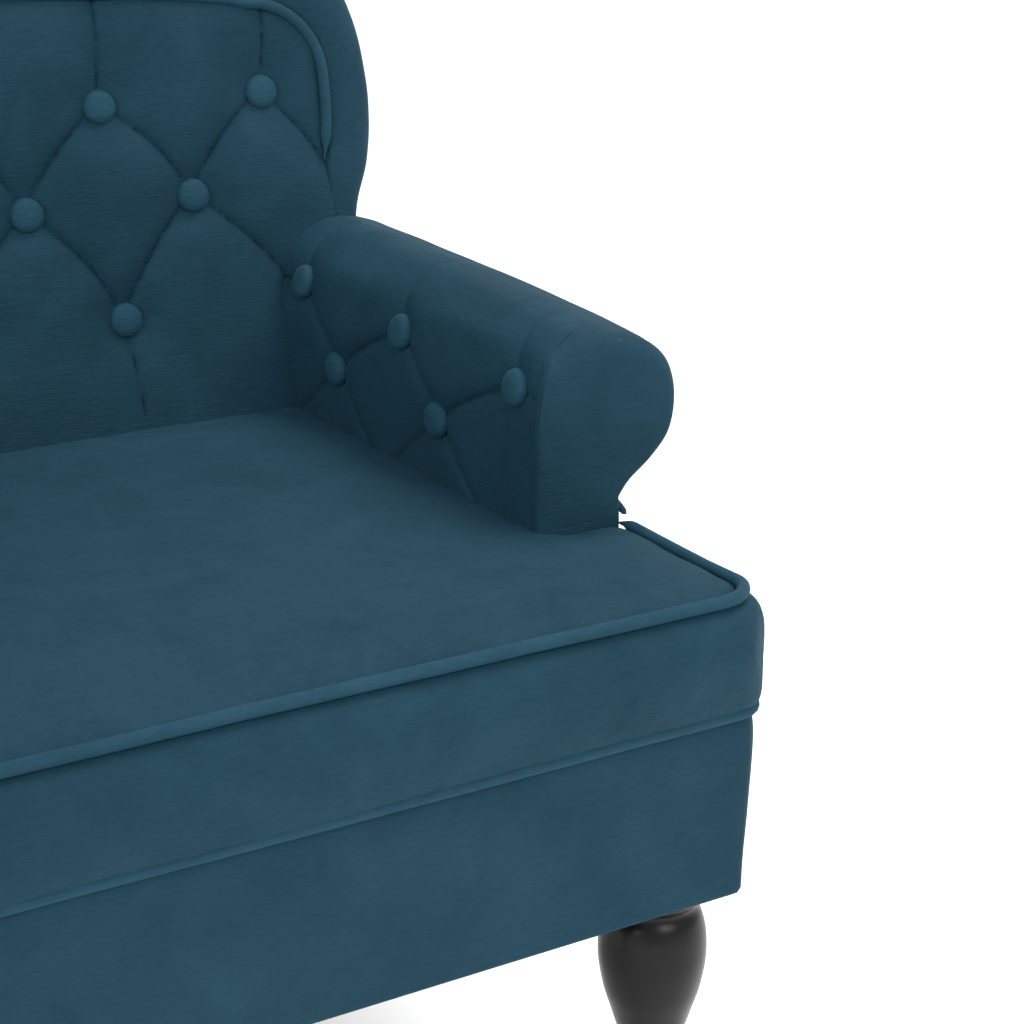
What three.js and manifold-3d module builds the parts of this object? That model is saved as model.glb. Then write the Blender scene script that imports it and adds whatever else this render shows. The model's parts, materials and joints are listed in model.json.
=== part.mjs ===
// A button-tufted armchair with rolled arms, a T-shaped seat and four turned screw-in feet.
// Millimetres, +Z up, -Y to the front. The origin is on the floor, at the centre of the footprint.
import * as THREE from "three";
import { mergeVertices } from "three/addons/utils/BufferGeometryUtils.js";
import Module from "manifold-3d";

// ---------------------------------------------------------------- driving dimensions
const GAP = 0.3; // between pieces that touch
const FOOT_HEIGHT = 220;
const BASE_TOP = 347; // top of the rails' cover, where the chair's upper half starts
const SEAT_TOP = 435;
const ARM_TOP = 572;
const BACK_TOP = 800;

const BASE_HALF = 328; // half the width of the base
const BASE_FRONT = -300;
const BASE_REAR = 262;
const BASE_CORNER = 9; // corner radius in plan
const FABRIC = 3; // cover and wadding together

const SEAT_HALF = 344; // half the width of the T's ears
const SEAT_FRONT = -319.5;
const SEAT_CORNER = 30;

const ARM_FRONT = -150;
const ARM_INNER = 262; // inner face of the arm, from the centre plane
const ARM_OUTER = 327; // outer face below the roll
const FACING_THICKNESS = 6;

const BACK_HALF = 309; // half the width of the tufted panel, out to its welt
const BACK_PANEL_TOP = 750;
const BACK_FRONT_AT_BASE = 179.7; // where the back's front face meets the height of BASE_TOP
const FRONT_RAKE = Math.tan(THREE.MathUtils.degToRad(11));
const REAR_RAKE = (319.5 - BASE_REAR) / (BACK_TOP - BASE_TOP);
const BACK_FOAM = 35;

const WELT_RADIUS = 4.3;
const LOWER_WELT_Z = 351;
const TOP_WELT_Z = 430;

// The padding stands on the base, and steps in over the lower welt.
const PAD_BOTTOM = BASE_TOP + 4 * GAP;
const PAD_STEP = LOWER_WELT_Z + WELT_RADIUS + 1;

const BUTTON_RADIUS = 13;
const BUTTON_PITCH = 130;
const BUTTON_ROWS = [ // height of each row, and how many buttons stand in it
  { z: 665, count: 5 },
  { z: 595, count: 4 },
  { z: 512, count: 3 },
];
const ARM_BUTTONS = [ // distance from front to back, and height
  { y: -112, z: 523 },
  { y: 38, z: 526 },
  { y: 184, z: 531 },
  { y: -14, z: 475.5 },
  { y: 128, z: 477 },
];

const FOOT_INSET = 44; // of a foot's axis from the two faces beside it
const FOOT_X = BASE_HALF - FOOT_INSET;
const FOOT_FRONT_Y = BASE_FRONT + FOOT_INSET + 1;
const FOOT_REAR_Y = BASE_REAR - FOOT_INSET - 1;
const BOLT_RADIUS = 4;
const BOLT_IN_FOOT = 40;
const BOLT_IN_FRAME = 42;

const RAIL_THICKNESS = 20;
const RAIL_BOTTOM = FOOT_HEIGHT + 3;
const RAIL_TOP = 338;
const RAIL_OUTER = BASE_HALF - FABRIC - 0.5; // outer face of the side rails
const RAIL_FRONT = BASE_FRONT + FABRIC + 0.5;
const RAIL_REAR = BASE_REAR - FABRIC - 0.5;
const POST_WIDTH = 42;
const POST_FRONT = 203;

const frontFace = (z) => BACK_FRONT_AT_BASE + (z - BASE_TOP) * FRONT_RAKE;
const rearFace = (z) => BASE_REAR + (z - BASE_TOP) * REAR_RAKE;

// ---------------------------------------------------------------- solids
const wasm = await Module();
wasm.setup();

function toSolid(geometry) {
  const bare = new THREE.BufferGeometry();
  bare.setAttribute("position", geometry.getAttribute("position"));
  if (geometry.index) bare.setIndex(geometry.index);
  const merged = mergeVertices(bare, 1e-3);
  const vertProperties = new Float32Array(merged.attributes.position.array);
  const triVerts = new Uint32Array(merged.index.array);
  return new wasm.Manifold(new wasm.Mesh({ numProp: 3, vertProperties, triVerts }));
}

function toGeometry(solid) {
  const mesh = solid.getMesh();
  const geometry = new THREE.BufferGeometry();
  geometry.setAttribute("position", new THREE.BufferAttribute(mesh.vertProperties, 3));
  geometry.setIndex(new THREE.BufferAttribute(mesh.triVerts, 1));
  return geometry;
}

const cut = (geometry, ...tools) =>
  toGeometry(tools.reduce((solid, tool) => solid.subtract(toSolid(tool)), toSolid(geometry)));

const common = (a, b) => toGeometry(toSolid(a).intersect(toSolid(b)));

const join = (...geometries) =>
  toGeometry(geometries.map(toSolid).reduce((sum, solid) => sum.add(solid)));

// A box between two corners.
function box([x0, y0, z0], [x1, y1, z1]) {
  const geometry = new THREE.BoxGeometry(x1 - x0, y1 - y0, z1 - z0);
  return geometry.translate((x0 + x1) / 2, (y0 + y1) / 2, (z0 + z1) / 2);
}

// A plan outline (x, y) raised from one height to another.
function plate(outline, bottom, top) {
  const shape = new THREE.Shape(outline);
  const geometry = new THREE.ExtrudeGeometry(shape, { depth: top - bottom, bevelEnabled: false });
  return geometry.translate(0, 0, bottom);
}

// A front-view outline (x, z), filled between two surfaces that each give y at a height.
function slab(outline, near, far) {
  const shape = new THREE.Shape(outline);
  const geometry = new THREE.ExtrudeGeometry(shape, { depth: 1, bevelEnabled: false });
  const p = geometry.getAttribute("position");
  for (let i = 0; i < p.count; i++) {
    const height = p.getY(i);
    const surface = p.getZ(i) > 0.5 ? near : far;
    p.setXYZ(i, p.getX(i), surface(height), height);
  }
  return geometry;
}

// A solid of revolution about a vertical axis. The profile is pairs of radius and height.
function turned(profile, segments) {
  const points = profile.map(([r, z]) => new THREE.Vector2(r, z));
  return new THREE.LatheGeometry(points, segments).rotateX(Math.PI / 2);
}

// A round cord along a curve.
function cord(points, radius, steps, tension = 0.5) {
  const curve = new THREE.CatmullRomCurve3(points, false, "catmullrom", tension);
  const section = new THREE.Shape();
  section.absarc(0, 0, radius, 0, 2 * Math.PI);
  return new THREE.ExtrudeGeometry(section, { extrudePath: curve, steps, curveSegments: 4 });
}

const mirrored = (points) => points.map((p) => new THREE.Vector2(-p.x, p.y)).reverse();
const vectors = (pairs) => pairs.map(([x, y]) => new THREE.Vector2(x, y));
const spline = (pairs, count) => new THREE.SplineCurve(vectors(pairs)).getPoints(count);

// Moves each point of a closed outline inwards. The outline runs anticlockwise.
function inset(outline, distance) {
  const n = outline.length;
  return outline.map((p, i) => {
    const before = p.clone().sub(outline[(i + n - 1) % n]).normalize();
    const after = outline[(i + 1) % n].clone().sub(p).normalize();
    const normal = new THREE.Vector2(-before.y - after.y, before.x + after.x).normalize();
    const miter = Math.max(0.35, normal.dot(new THREE.Vector2(-after.y, after.x)));
    return p.clone().addScaledVector(normal, distance / miter);
  });
}

// A quarter turn about a centre, between two angles in quarter turns.
function corner(cx, cy, radius, from, to, count = 5) {
  return Array.from({ length: count + 1 }, (_, i) => {
    const angle = (Math.PI / 2) * (from + ((to - from) * i) / count);
    return new THREE.Vector2(cx + radius * Math.cos(angle), cy + radius * Math.sin(angle));
  });
}

// ---------------------------------------------------------------- outlines
function baseOutline(by = 0) {
  const radius = Math.max(1.5, BASE_CORNER - by);
  const x = BASE_HALF - by - radius;
  const front = BASE_FRONT + by + radius;
  const rear = BASE_REAR - by - radius;
  return [
    ...corner(x, front, radius, -1, 0),
    ...corner(x, rear, radius, 0, 1),
    ...corner(-x, rear, radius, 1, 2),
    ...corner(-x, front, radius, 2, 3),
  ];
}

// The T-shaped seat: ears in front of the arms, and a body between them.
function seatOutline() {
  const x = SEAT_HALF - SEAT_CORNER;
  const front = SEAT_FRONT + SEAT_CORNER;
  const rear = frontFace(SEAT_TOP) - 18;
  const half = [
    ...corner(x, front, SEAT_CORNER, -1, 0),
    new THREE.Vector2(SEAT_HALF, ARM_FRONT - GAP),
    new THREE.Vector2(ARM_INNER - GAP, ARM_FRONT - GAP),
    new THREE.Vector2(ARM_INNER - GAP, rear),
  ];
  return [...half, ...mirrored(half)];
}

// The whole back in front view: straight sides, ears over the arms, round shoulders, an arched top.
function backOutline(bottom = PAD_STEP) {
  const side = spline([[328, 540], [335, 574], [351, 608], [357, 648], [354, 694], [343, 732],
    [318, 766], [278, 785], [200, 793], [100, 798], [0, BACK_TOP]], 26);
  const half = [new THREE.Vector2(BASE_HALF, bottom), ...side];
  return [...half, ...mirrored(half.slice(0, -1))];
}

// The tufted panel inside the welt.
function panelOutline(bottom = BASE_TOP + 1) {
  const shoulder = corner(BACK_HALF - 60, 676, 60, 0, 1, 6);
  const half = [
    new THREE.Vector2(296, bottom),
    new THREE.Vector2(296, 545),
    new THREE.Vector2(BACK_HALF - 5, 580),
    ...shoulder,
    new THREE.Vector2(130, 746),
    new THREE.Vector2(0, BACK_PANEL_TOP),
  ];
  return [...half, ...mirrored(half.slice(0, -1))];
}

// The rolled arm seen from the front, on the chair's +X side.
function armOutline(bottom) {
  const roll = spline([[ARM_OUTER, 447], [339, 456], [354, 467], [366, 485], [371, 517], [362, 543],
    [342, 563], [314, ARM_TOP], [288, 566], [269, 546], [ARM_INNER, 515]], 22);
  return [
    new THREE.Vector2(ARM_INNER, bottom),
    new THREE.Vector2(ARM_OUTER, bottom),
    ...roll,
  ];
}

// ---------------------------------------------------------------- materials
const finish = (color, roughness, metalness = 0) =>
  new THREE.MeshStandardMaterial({ color, roughness, metalness });
const velvet = finish(0x284858, 0.85);
const blackWood = finish(0x2b2c2b, 0.35);
const pine = finish(0xc9a36b, 0.7);
const plywood = finish(0xb98f5a, 0.7);
const foam = finish(0xe8dfb8, 0.9);
const springSteel = finish(0x6a6d70, 0.4, 1);
const zinc = finish(0xb9bcc0, 0.35, 1);
const cambric = finish(0x1c1d1f, 0.95);

const chair = new THREE.Group();
chair.name = "armchair";

function add(name, geometry, material) {
  const mesh = new THREE.Mesh(geometry, material);
  mesh.name = name;
  chair.add(mesh);
  return mesh;
}

const SIDES = [
  { name: "left", sign: -1 },
  { name: "right", sign: 1 },
];

// Adds a piece made on the +X side, or its mirror image on the -X side.
function addSided(name, side, geometry, material) {
  add(`${name}_${side.name}`, geometry, material).scale.x = side.sign;
}

// ---------------------------------------------------------------- feet
const FOOT_PROFILE = [ // radius and height above the floor
  [0, 0], [13, 0], [15, 3], [16, 12], [15, 24], [13.5, 34], [17, 38], [18.5, 43], [17, 48],
  [13.5, 52], [13.5, 62], [16, 82], [20.5, 106], [27, 128], [32.5, 147], [36, 168], [35.5, 190],
  [33, 201], [30, 206], [29, 209], [31.5, 212],
];

function footGeometry() {
  const top = FOOT_HEIGHT - GAP;
  const bore = BOLT_RADIUS + GAP;
  const bottom = FOOT_HEIGHT - BOLT_IN_FOOT;
  return turned([...FOOT_PROFILE, [31.5, top], [bore, top], [bore, bottom], [0, bottom]], 16);
}

function boltGeometry() {
  const bottom = FOOT_HEIGHT - BOLT_IN_FOOT + GAP;
  const top = FOOT_HEIGHT + BOLT_IN_FRAME - 1;
  return turned([[0, bottom], [1.5, bottom], [BOLT_RADIUS, bottom + 8], [BOLT_RADIUS, top - 2],
    [BOLT_RADIUS - 1, top], [0, top]], 12);
}

function boltHole(x, y) {
  const length = BOLT_IN_FRAME + 5;
  const hole = new THREE.CylinderGeometry(BOLT_RADIUS + GAP, BOLT_RADIUS + GAP, length, 12);
  return hole.rotateX(Math.PI / 2).translate(x, y, FOOT_HEIGHT + BOLT_IN_FRAME - length / 2);
}

for (const side of SIDES)
  for (const [end, y] of [["front", FOOT_FRONT_Y], ["rear", FOOT_REAR_Y]]) {
    const place = (mesh) => mesh.position.set(side.sign * FOOT_X, y, 0);
    place(add(`foot_${end}_${side.name}`, footGeometry(), blackWood));
    place(add(`hanger_bolt_${end}_${side.name}`, boltGeometry(), zinc));
  }

// ---------------------------------------------------------------- seat frame
const postInner = RAIL_OUTER - RAIL_THICKNESS - GAP - POST_WIDTH;
const postOuter = postInner + POST_WIDTH;

// The space inside the base cover, with its rounded corners.
const insideCover = () => plate(baseOutline(FABRIC + 0.5), RAIL_BOTTOM, RAIL_TOP);

const frontRail = box([-RAIL_OUTER, RAIL_FRONT, RAIL_BOTTOM],
  [RAIL_OUTER, RAIL_FRONT + RAIL_THICKNESS, RAIL_TOP]);
add("front_rail", common(frontRail, insideCover()), pine);
add("rear_rail", box([-postInner + GAP, RAIL_REAR - RAIL_THICKNESS, RAIL_BOTTOM],
  [postInner - GAP, RAIL_REAR, RAIL_TOP]), pine);

const blockFront = RAIL_FRONT + RAIL_THICKNESS + GAP;
for (const side of SIDES) {
  const sideRail = box([RAIL_OUTER - RAIL_THICKNESS, blockFront, RAIL_BOTTOM],
    [RAIL_OUTER, RAIL_REAR, RAIL_TOP]);
  addSided("side_rail", side, common(sideRail, insideCover()), pine);
  const block = box([postInner - 12, blockFront, FOOT_HEIGHT], [postOuter, blockFront + 54, 290]);
  addSided("corner_block", side, cut(block, boltHole(FOOT_X, FOOT_FRONT_Y)), pine);
}

// Zigzag springs from the front rail to the rear rail, tied by cross wires.
function springUnit() {
  const WIRE = 1.8;
  const HALF_WAVES = 12;
  const AMPLITUDE = 24;
  const z = (RAIL_TOP + BASE_TOP + GAP) / 2 + 0.4;
  const start = RAIL_FRONT + 8;
  const end = RAIL_REAR - 8;
  const zigzag = (x) => {
    const points = [];
    for (let i = 0; i <= HALF_WAVES * 2; i++) {
      const y = start + ((end - start) * i) / (HALF_WAVES * 2);
      points.push(new THREE.Vector3(x + AMPLITUDE * Math.sin((i * Math.PI) / 2), y, z));
    }
    return points;
  };
  const section = new THREE.Shape(Array.from({ length: 4 }, (_, i) =>
    new THREE.Vector2(WIRE * Math.cos((i * Math.PI) / 2), WIRE * Math.sin((i * Math.PI) / 2))));
  const wire = (points, steps) => new THREE.ExtrudeGeometry(section,
    { extrudePath: new THREE.CatmullRomCurve3(points), steps });
  const springs = [-195, -65, 65, 195].map((x) => wire(zigzag(x), HALF_WAVES * 2));
  const ties = [-130, 10, 150].map((y) =>
    wire([new THREE.Vector3(-218, y, z), new THREE.Vector3(218, y, z)], 1));
  return join(...springs, ...ties);
}
add("seat_spring_unit", springUnit(), springSteel);

// ---------------------------------------------------------------- back frame
function backFrame() {
  const rear = (z) => rearFace(z) - FABRIC - 0.6;
  const board = slab(inset(panelOutline(), 8), (z) => rear(z) - 14, rear);
  const window = [[-225, 420], [225, 420], [225, 700], [-225, 700]];
  const open = cut(board, slab(vectors(window), () => 150, () => 400));
  const legs = SIDES.flatMap(({ sign }) => {
    const [x0, x1] = [sign * postInner, sign * postOuter].sort((a, b) => a - b);
    const [u0, u1] = [sign * postInner, sign * 294].sort((a, b) => a - b);
    const upper = vectors([[u0, BASE_TOP - 5], [u1, BASE_TOP - 5], [u1, 640], [u0, 640]]);
    const lower = box([x0, POST_FRONT, FOOT_HEIGHT], [x1, RAIL_REAR, BASE_TOP - 1]);
    const bored = cut(lower, boltHole(sign * FOOT_X, FOOT_REAR_Y));
    return [bored, slab(upper, (z) => frontFace(z) + BACK_FOAM + FABRIC + 1.5, rear)];
  });
  return join(open, ...legs);
}
add("back_frame", backFrame(), plywood);

// ---------------------------------------------------------------- arm frame, padding and covers
const armRear = (z) => frontFace(z) - 0.6;
const boardFront = ARM_FRONT + FACING_THICKNESS + GAP;
const BOARD = 18;

// Two shaped boards joined by a top rail and a bottom rail.
function armRails(grow) {
  return [
    box([292 - grow, boardFront, 500 - grow], [336 + grow, 165, 522 + grow]),
    box([284 - grow, boardFront, RAIL_TOP + GAP - grow], [320 + grow, 165, 378 + grow]),
  ];
}

function armBoard(from) {
  const outline = inset(armOutline(RAIL_TOP + GAP), FABRIC + 15);
  outline.forEach((p) => (p.x += 8));
  outline[0].y = outline[1].y = RAIL_TOP + GAP;
  return slab(outline, () => from, () => from + BOARD);
}

const armWell = ({ y, z }, radius) => {
  const depth = 22;
  const well = new THREE.CylinderGeometry(radius, radius, depth, 10).rotateZ(Math.PI / 2);
  return well.translate(ARM_INNER - 4 + depth / 2, y, z);
};

function armFoam() {
  const outline = inset(armOutline(PAD_STEP), FABRIC + 0.5);
  const outer = outline[1].x;
  const foot = [[outline[0].x, PAD_BOTTOM], [outer - 5, PAD_BOTTOM], [outer - 5, PAD_STEP], [outer, PAD_STEP]];
  outline.splice(0, 2, ...vectors(foot));
  const block = slab(outline, () => boardFront + BOARD + GAP, () => 165 - BOARD - GAP);
  const wells = ARM_BUTTONS.slice(0, 5).map((b) => armWell(b, BUTTON_RADIUS + 2));
  return cut(block, ...armRails(0.5), ...wells);
}

// Inside arm and roll in one piece: from the seat deck, over the roll, to the seam under it.
function armCover() {
  const outline = armOutline(BASE_TOP + 2 * GAP);
  const skin = outline.slice(2);
  const closed = inset(outline, FABRIC);
  const lining = closed.slice(2).reverse();
  closed[0].y = outline[0].y;
  const ring = [outline[0], closed[0], ...lining, ...skin];
  const shape = slab(ring, () => boardFront, armRear);
  return cut(shape, ...ARM_BUTTONS.map((b) => armWell(b, BUTTON_RADIUS + 0.8)));
}

function armFacing() {
  const outline = inset(armOutline(SEAT_TOP + GAP), 1.5);
  outline[0].y = outline[1].y = SEAT_TOP + GAP;
  return slab(outline, () => ARM_FRONT, () => ARM_FRONT + FACING_THICKNESS);
}

function outsideArm() {
  const x = ARM_OUTER;
  const panel = vectors([[x - FABRIC, PAD_STEP], [x, PAD_STEP], [x, 446], [x - FABRIC, 446]]);
  return slab(panel, () => boardFront, armRear);
}

function buttonGeometry() {
  return turned([[0, -4], [11, -4], [BUTTON_RADIUS, 1], [10, 5.5], [0, 8]], 10);
}

// ---------------------------------------------------------------- welts
const vector3 = ([x, y, z]) => new THREE.Vector3(x, y, z);

// Runs from the left rear, round the front corners, to the right rear, and on through any further points.
function roundTheFront(x, front, rear, radius, z, beyond = []) {
  const right = [
    ...corner(x - radius, front + radius, radius, -1, 0, 6).map((p) => [p.x, p.y, z]),
    ...[0.25, 0.5, 0.75, 1].map((t) => [x, front + radius + (rear - front - radius) * t, z]),
    ...beyond,
  ];
  const left = right.map(([px, py, pz]) => [-px, py, pz]).reverse();
  const across = [-0.75, -0.5, -0.25, 0, 0.25, 0.5, 0.75].map((t) => [t * (x - radius), front, z]);
  return [...left, ...across, ...right].map(vector3);
}

const topWeltPath = roundTheFront(SEAT_HALF - 10, SEAT_FRONT + 10, ARM_FRONT - 3, SEAT_CORNER, TOP_WELT_Z);

// The lower welt goes on round the rear, where its two ends meet.
function lowerWeltRear() {
  const side = BASE_HALF + 2;
  const radius = BASE_CORNER + 4;
  const rear = BASE_REAR + 2;
  const turn = corner(side - radius, rear - radius, radius, 0, 1, 6).slice(1);
  const across = [0.75, 0.5, 0.25].map((t) => [t * side, rear, LOWER_WELT_Z]);
  return [...turn.map((p) => [p.x, p.y, LOWER_WELT_Z]), ...across, [0.5, rear, LOWER_WELT_Z]];
}
const lowerWeltPath = roundTheFront(BASE_HALF + 2, BASE_FRONT - 2.5, BASE_REAR - BASE_CORNER - 2,
  BASE_CORNER + 4, LOWER_WELT_Z, lowerWeltRear());

function backWeltPath() {
  const line = panelOutline().filter((p) => p.y >= 580);
  return [new THREE.Vector2(BACK_HALF - 3, 611), ...line.slice(1, -1), new THREE.Vector2(3 - BACK_HALF, 611)]
    .map((p) => new THREE.Vector3(p.x, frontFace(p.y) - 1, p.y));
}

const weltSteps = { top: 48, lower: 84, back: 36 };
const topWelt = (radius) => cord(topWeltPath, radius, weltSteps.top);
const lowerWelt = (radius) => cord(lowerWeltPath, radius, weltSteps.lower);
const backWelt = (radius) => cord(backWeltPath(), radius, weltSteps.back);
add("seat_top_welt", topWelt(WELT_RADIUS), velvet);
add("seat_lower_welt", lowerWelt(WELT_RADIUS), velvet);
add("back_welt", backWelt(WELT_RADIUS), velvet);

for (const side of SIDES) {
  addSided("arm_frame", side, join(armBoard(boardFront), armBoard(165 - BOARD), ...armRails(0)), plywood);
  addSided("arm_foam", side, armFoam(), foam);
  addSided("arm_cover", side, armCover(), velvet);
  addSided("arm_facing", side, armFacing(), velvet);
  addSided("outside_arm", side, outsideArm(), velvet);
  ARM_BUTTONS.forEach(({ y, z }, i) => {
    const button = add(`arm_button_${side.name}_${i + 1}`, buttonGeometry(), velvet);
    button.position.set(side.sign * (ARM_INNER + 5), y, z);
    button.rotation.y = (-side.sign * Math.PI) / 2;
  });
}

// ---------------------------------------------------------------- seat
function seatCover() {
  const outline = seatOutline();
  const bottom = BASE_TOP + 2 * GAP;
  const shell = plate(outline, bottom, SEAT_TOP);
  const hollow = plate(inset(outline, FABRIC), bottom - 5, SEAT_TOP - FABRIC);
  return cut(shell, hollow, topWelt(WELT_RADIUS + 0.4), lowerWelt(WELT_RADIUS + 0.4));
}
add("seat_cover", seatCover(), velvet);

function seatFoam() {
  const cushion = plate(inset(seatOutline(), 20), PAD_STEP, SEAT_TOP - FABRIC - GAP);
  return join(cushion, plate(inset(seatOutline(), 26), PAD_BOTTOM, PAD_STEP + 1));
}
add("seat_foam", seatFoam(), foam);

// ---------------------------------------------------------------- base cover and dust cover
function baseCover() {
  const shell = plate(baseOutline(), FOOT_HEIGHT, BASE_TOP);
  const hollow = plate(baseOutline(FABRIC), FOOT_HEIGHT + 2, BASE_TOP + 5);
  const opening = plate(baseOutline(17), FOOT_HEIGHT - 5, FOOT_HEIGHT + 5);
  return cut(shell, hollow, opening, lowerWelt(WELT_RADIUS + 0.4), ...blockRoom());
}

// The turned-in edge is trimmed where the corner blocks and posts come down to the feet.
function blockRoom() {
  return SIDES.map(({ sign }) => {
    const [x0, x1] = [sign * (postInner - 14), sign * (postOuter + 1)].sort((a, b) => a - b);
    return box([x0, RAIL_FRONT + 1, FOOT_HEIGHT - 1], [x1, RAIL_REAR, FOOT_HEIGHT + 3]);
  });
}
add("base_cover", baseCover(), velvet);

// Black cloth under the seat, notched round the feet.
function dustCover() {
  const x = BASE_HALF - 12;
  const notchX = FOOT_X - 35;
  const front = BASE_FRONT + 12;
  const rear = BASE_REAR - 12;
  const notchFront = FOOT_FRONT_Y + 35;
  const notchRear = FOOT_REAR_Y - 35;
  const half = vectors([[notchX, front], [notchX, notchFront], [x, notchFront],
    [x, notchRear], [notchX, notchRear], [notchX, rear]]);
  return plate([...half, ...mirrored(half)], FOOT_HEIGHT - 1.5, FOOT_HEIGHT - GAP);
}
add("dust_cover", dustCover(), cambric);

// ---------------------------------------------------------------- back padding and covers
const backButtons = BUTTON_ROWS.flatMap(({ z, count }) =>
  Array.from({ length: count }, (_, i) => ({ x: (i - (count - 1) / 2) * BUTTON_PITCH, z })));

function backWell({ x, z }, radius) {
  const depth = 26;
  const well = new THREE.CylinderGeometry(radius, radius, depth, 10);
  return well.rotateX(-Math.atan(FRONT_RAKE)).translate(x, frontFace(z) + depth / 2 - 6, z);
}

function backFoam() {
  const outline = inset(panelOutline(BASE_TOP + 1.3), 6);
  outline[0].y = outline[outline.length - 1].y = BASE_TOP + 1.3;
  const block = slab(outline, (z) => frontFace(z) + FABRIC + GAP, (z) => frontFace(z) + BACK_FOAM + FABRIC);
  return cut(block, ...backButtons.map((b) => backWell(b, BUTTON_RADIUS + 2)));
}

function tuftedCover() {
  const sheet = slab(inset(panelOutline(), 0.6), frontFace, (z) => frontFace(z) + FABRIC);
  return cut(sheet, backWelt(WELT_RADIUS + 0.4), ...backButtons.map((b) => backWell(b, BUTTON_RADIUS + 0.8)));
}

// The padded border round the panel, as an arch that is open at the bottom.
function backBorder() {
  const near = (z) => frontFace(z) - 0.2;
  const arch = slab(backOutline(), near, (z) => rearFace(z) - FABRIC - GAP);
  const inner = inset(panelOutline(BASE_TOP - 20), -0.6);
  const opening = slab(inner, () => 100, () => 400);
  return cut(arch, opening, backWelt(WELT_RADIUS + 0.4));
}

add("back_foam", backFoam(), foam);
add("back_tufted_cover", tuftedCover(), velvet);
add("back_border", backBorder(), velvet);
add("outside_back_cover", slab(backOutline(), (z) => rearFace(z) - FABRIC, rearFace), velvet);

backButtons.forEach(({ x, z }, i) => {
  const button = add(`back_button_${String(i + 1).padStart(2, "0")}`, buttonGeometry(), velvet);
  button.position.set(x, frontFace(z) + 6, z);
  button.rotation.x = Math.PI / 2 - Math.atan(FRONT_RAKE);
});

export default chair;
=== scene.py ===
"""A button-tufted velvet armchair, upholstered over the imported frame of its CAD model.

Everything is in metres in the frame's own axes: +Z up, -Y to the front, the floor at Z = 0.
"""

import json
import logging
import math
from dataclasses import dataclass, field
from enum import Enum
from typing import Any, Callable, Sequence

import bmesh
import bpy
import numpy as np
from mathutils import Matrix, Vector, noise

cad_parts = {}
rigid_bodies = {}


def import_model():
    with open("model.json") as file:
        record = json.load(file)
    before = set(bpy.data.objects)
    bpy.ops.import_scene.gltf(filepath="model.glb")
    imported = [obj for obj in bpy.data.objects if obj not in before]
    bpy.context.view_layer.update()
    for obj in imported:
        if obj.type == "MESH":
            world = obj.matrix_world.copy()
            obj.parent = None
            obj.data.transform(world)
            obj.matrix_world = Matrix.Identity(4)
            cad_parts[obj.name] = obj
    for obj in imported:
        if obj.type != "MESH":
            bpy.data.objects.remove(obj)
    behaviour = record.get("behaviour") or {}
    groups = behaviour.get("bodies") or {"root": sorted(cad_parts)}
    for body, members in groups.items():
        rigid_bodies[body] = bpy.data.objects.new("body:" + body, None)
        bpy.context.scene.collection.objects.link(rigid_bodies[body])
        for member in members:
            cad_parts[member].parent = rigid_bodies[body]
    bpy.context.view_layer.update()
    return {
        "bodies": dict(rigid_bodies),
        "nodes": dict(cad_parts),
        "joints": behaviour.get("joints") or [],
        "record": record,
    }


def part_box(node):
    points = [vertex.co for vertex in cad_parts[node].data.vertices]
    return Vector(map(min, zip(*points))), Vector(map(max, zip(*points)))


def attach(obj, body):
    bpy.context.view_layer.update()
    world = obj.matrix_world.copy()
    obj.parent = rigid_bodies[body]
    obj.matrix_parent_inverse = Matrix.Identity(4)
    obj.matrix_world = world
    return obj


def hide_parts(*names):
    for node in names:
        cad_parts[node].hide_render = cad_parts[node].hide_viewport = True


Array = np.ndarray
LOG = logging.getLogger("armchair")
ROOT_BODY = "chair"


class Side(Enum):
    """The chair's two sides, as signs of X."""

    LEFT = -1
    RIGHT = 1

    @property
    def word(self) -> str:
        """The side's name as it stands in node names."""
        return self.name.lower()


# ------------------------------------------------------------------ numbers
def smoothstep(low: float, high: float, value: Array) -> Array:
    """Rises smoothly from 0 to 1.

    Args:
        low: where the rise begins.
        high: where it ends.
        value: the numbers to place on it.

    Returns:
        The rise at each number.
    """
    t = np.clip((np.asarray(value, float) - low) / (high - low), 0.0, 1.0)
    return t * t * (3 - 2 * t)


def resample(points: Array, count: int) -> Array:
    """Spaces points evenly along a polyline.

    Args:
        points: the polyline, one point a row.
        count: how many points to give back.

    Returns:
        The new points.
    """
    points = np.asarray(points, float)
    steps = np.linalg.norm(np.diff(points, axis=0), axis=1)
    along = np.concatenate([[0.0], np.cumsum(steps)])
    wanted = np.linspace(0.0, along[-1], count)
    return np.stack([np.interp(wanted, along, points[:, k]) for k in range(points.shape[1])], axis=1)


def smooth_through(points: Sequence[Sequence[float]], count: int) -> Array:
    """Draws a Catmull-Rom curve through a few points.

    Args:
        points: the points it passes through.
        count: how many evenly spaced points to give back.

    Returns:
        Points on the curve.
    """
    p = np.asarray(points, float)
    p = np.vstack([2 * p[0] - p[1], p, 2 * p[-1] - p[-2]])
    t = np.linspace(0, 1, 24, endpoint=False)[:, None]
    parts = []
    for a, b, c, d in zip(p[:-3], p[1:-2], p[2:-1], p[3:]):
        parts.append(0.5 * (2 * b + (c - a) * t + (2 * a - 5 * b + 4 * c - d) * t**2
                            + (3 * b - a - 3 * c + d) * t**3))
    return resample(np.vstack([*parts, p[-2:-1]]), count)


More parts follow.
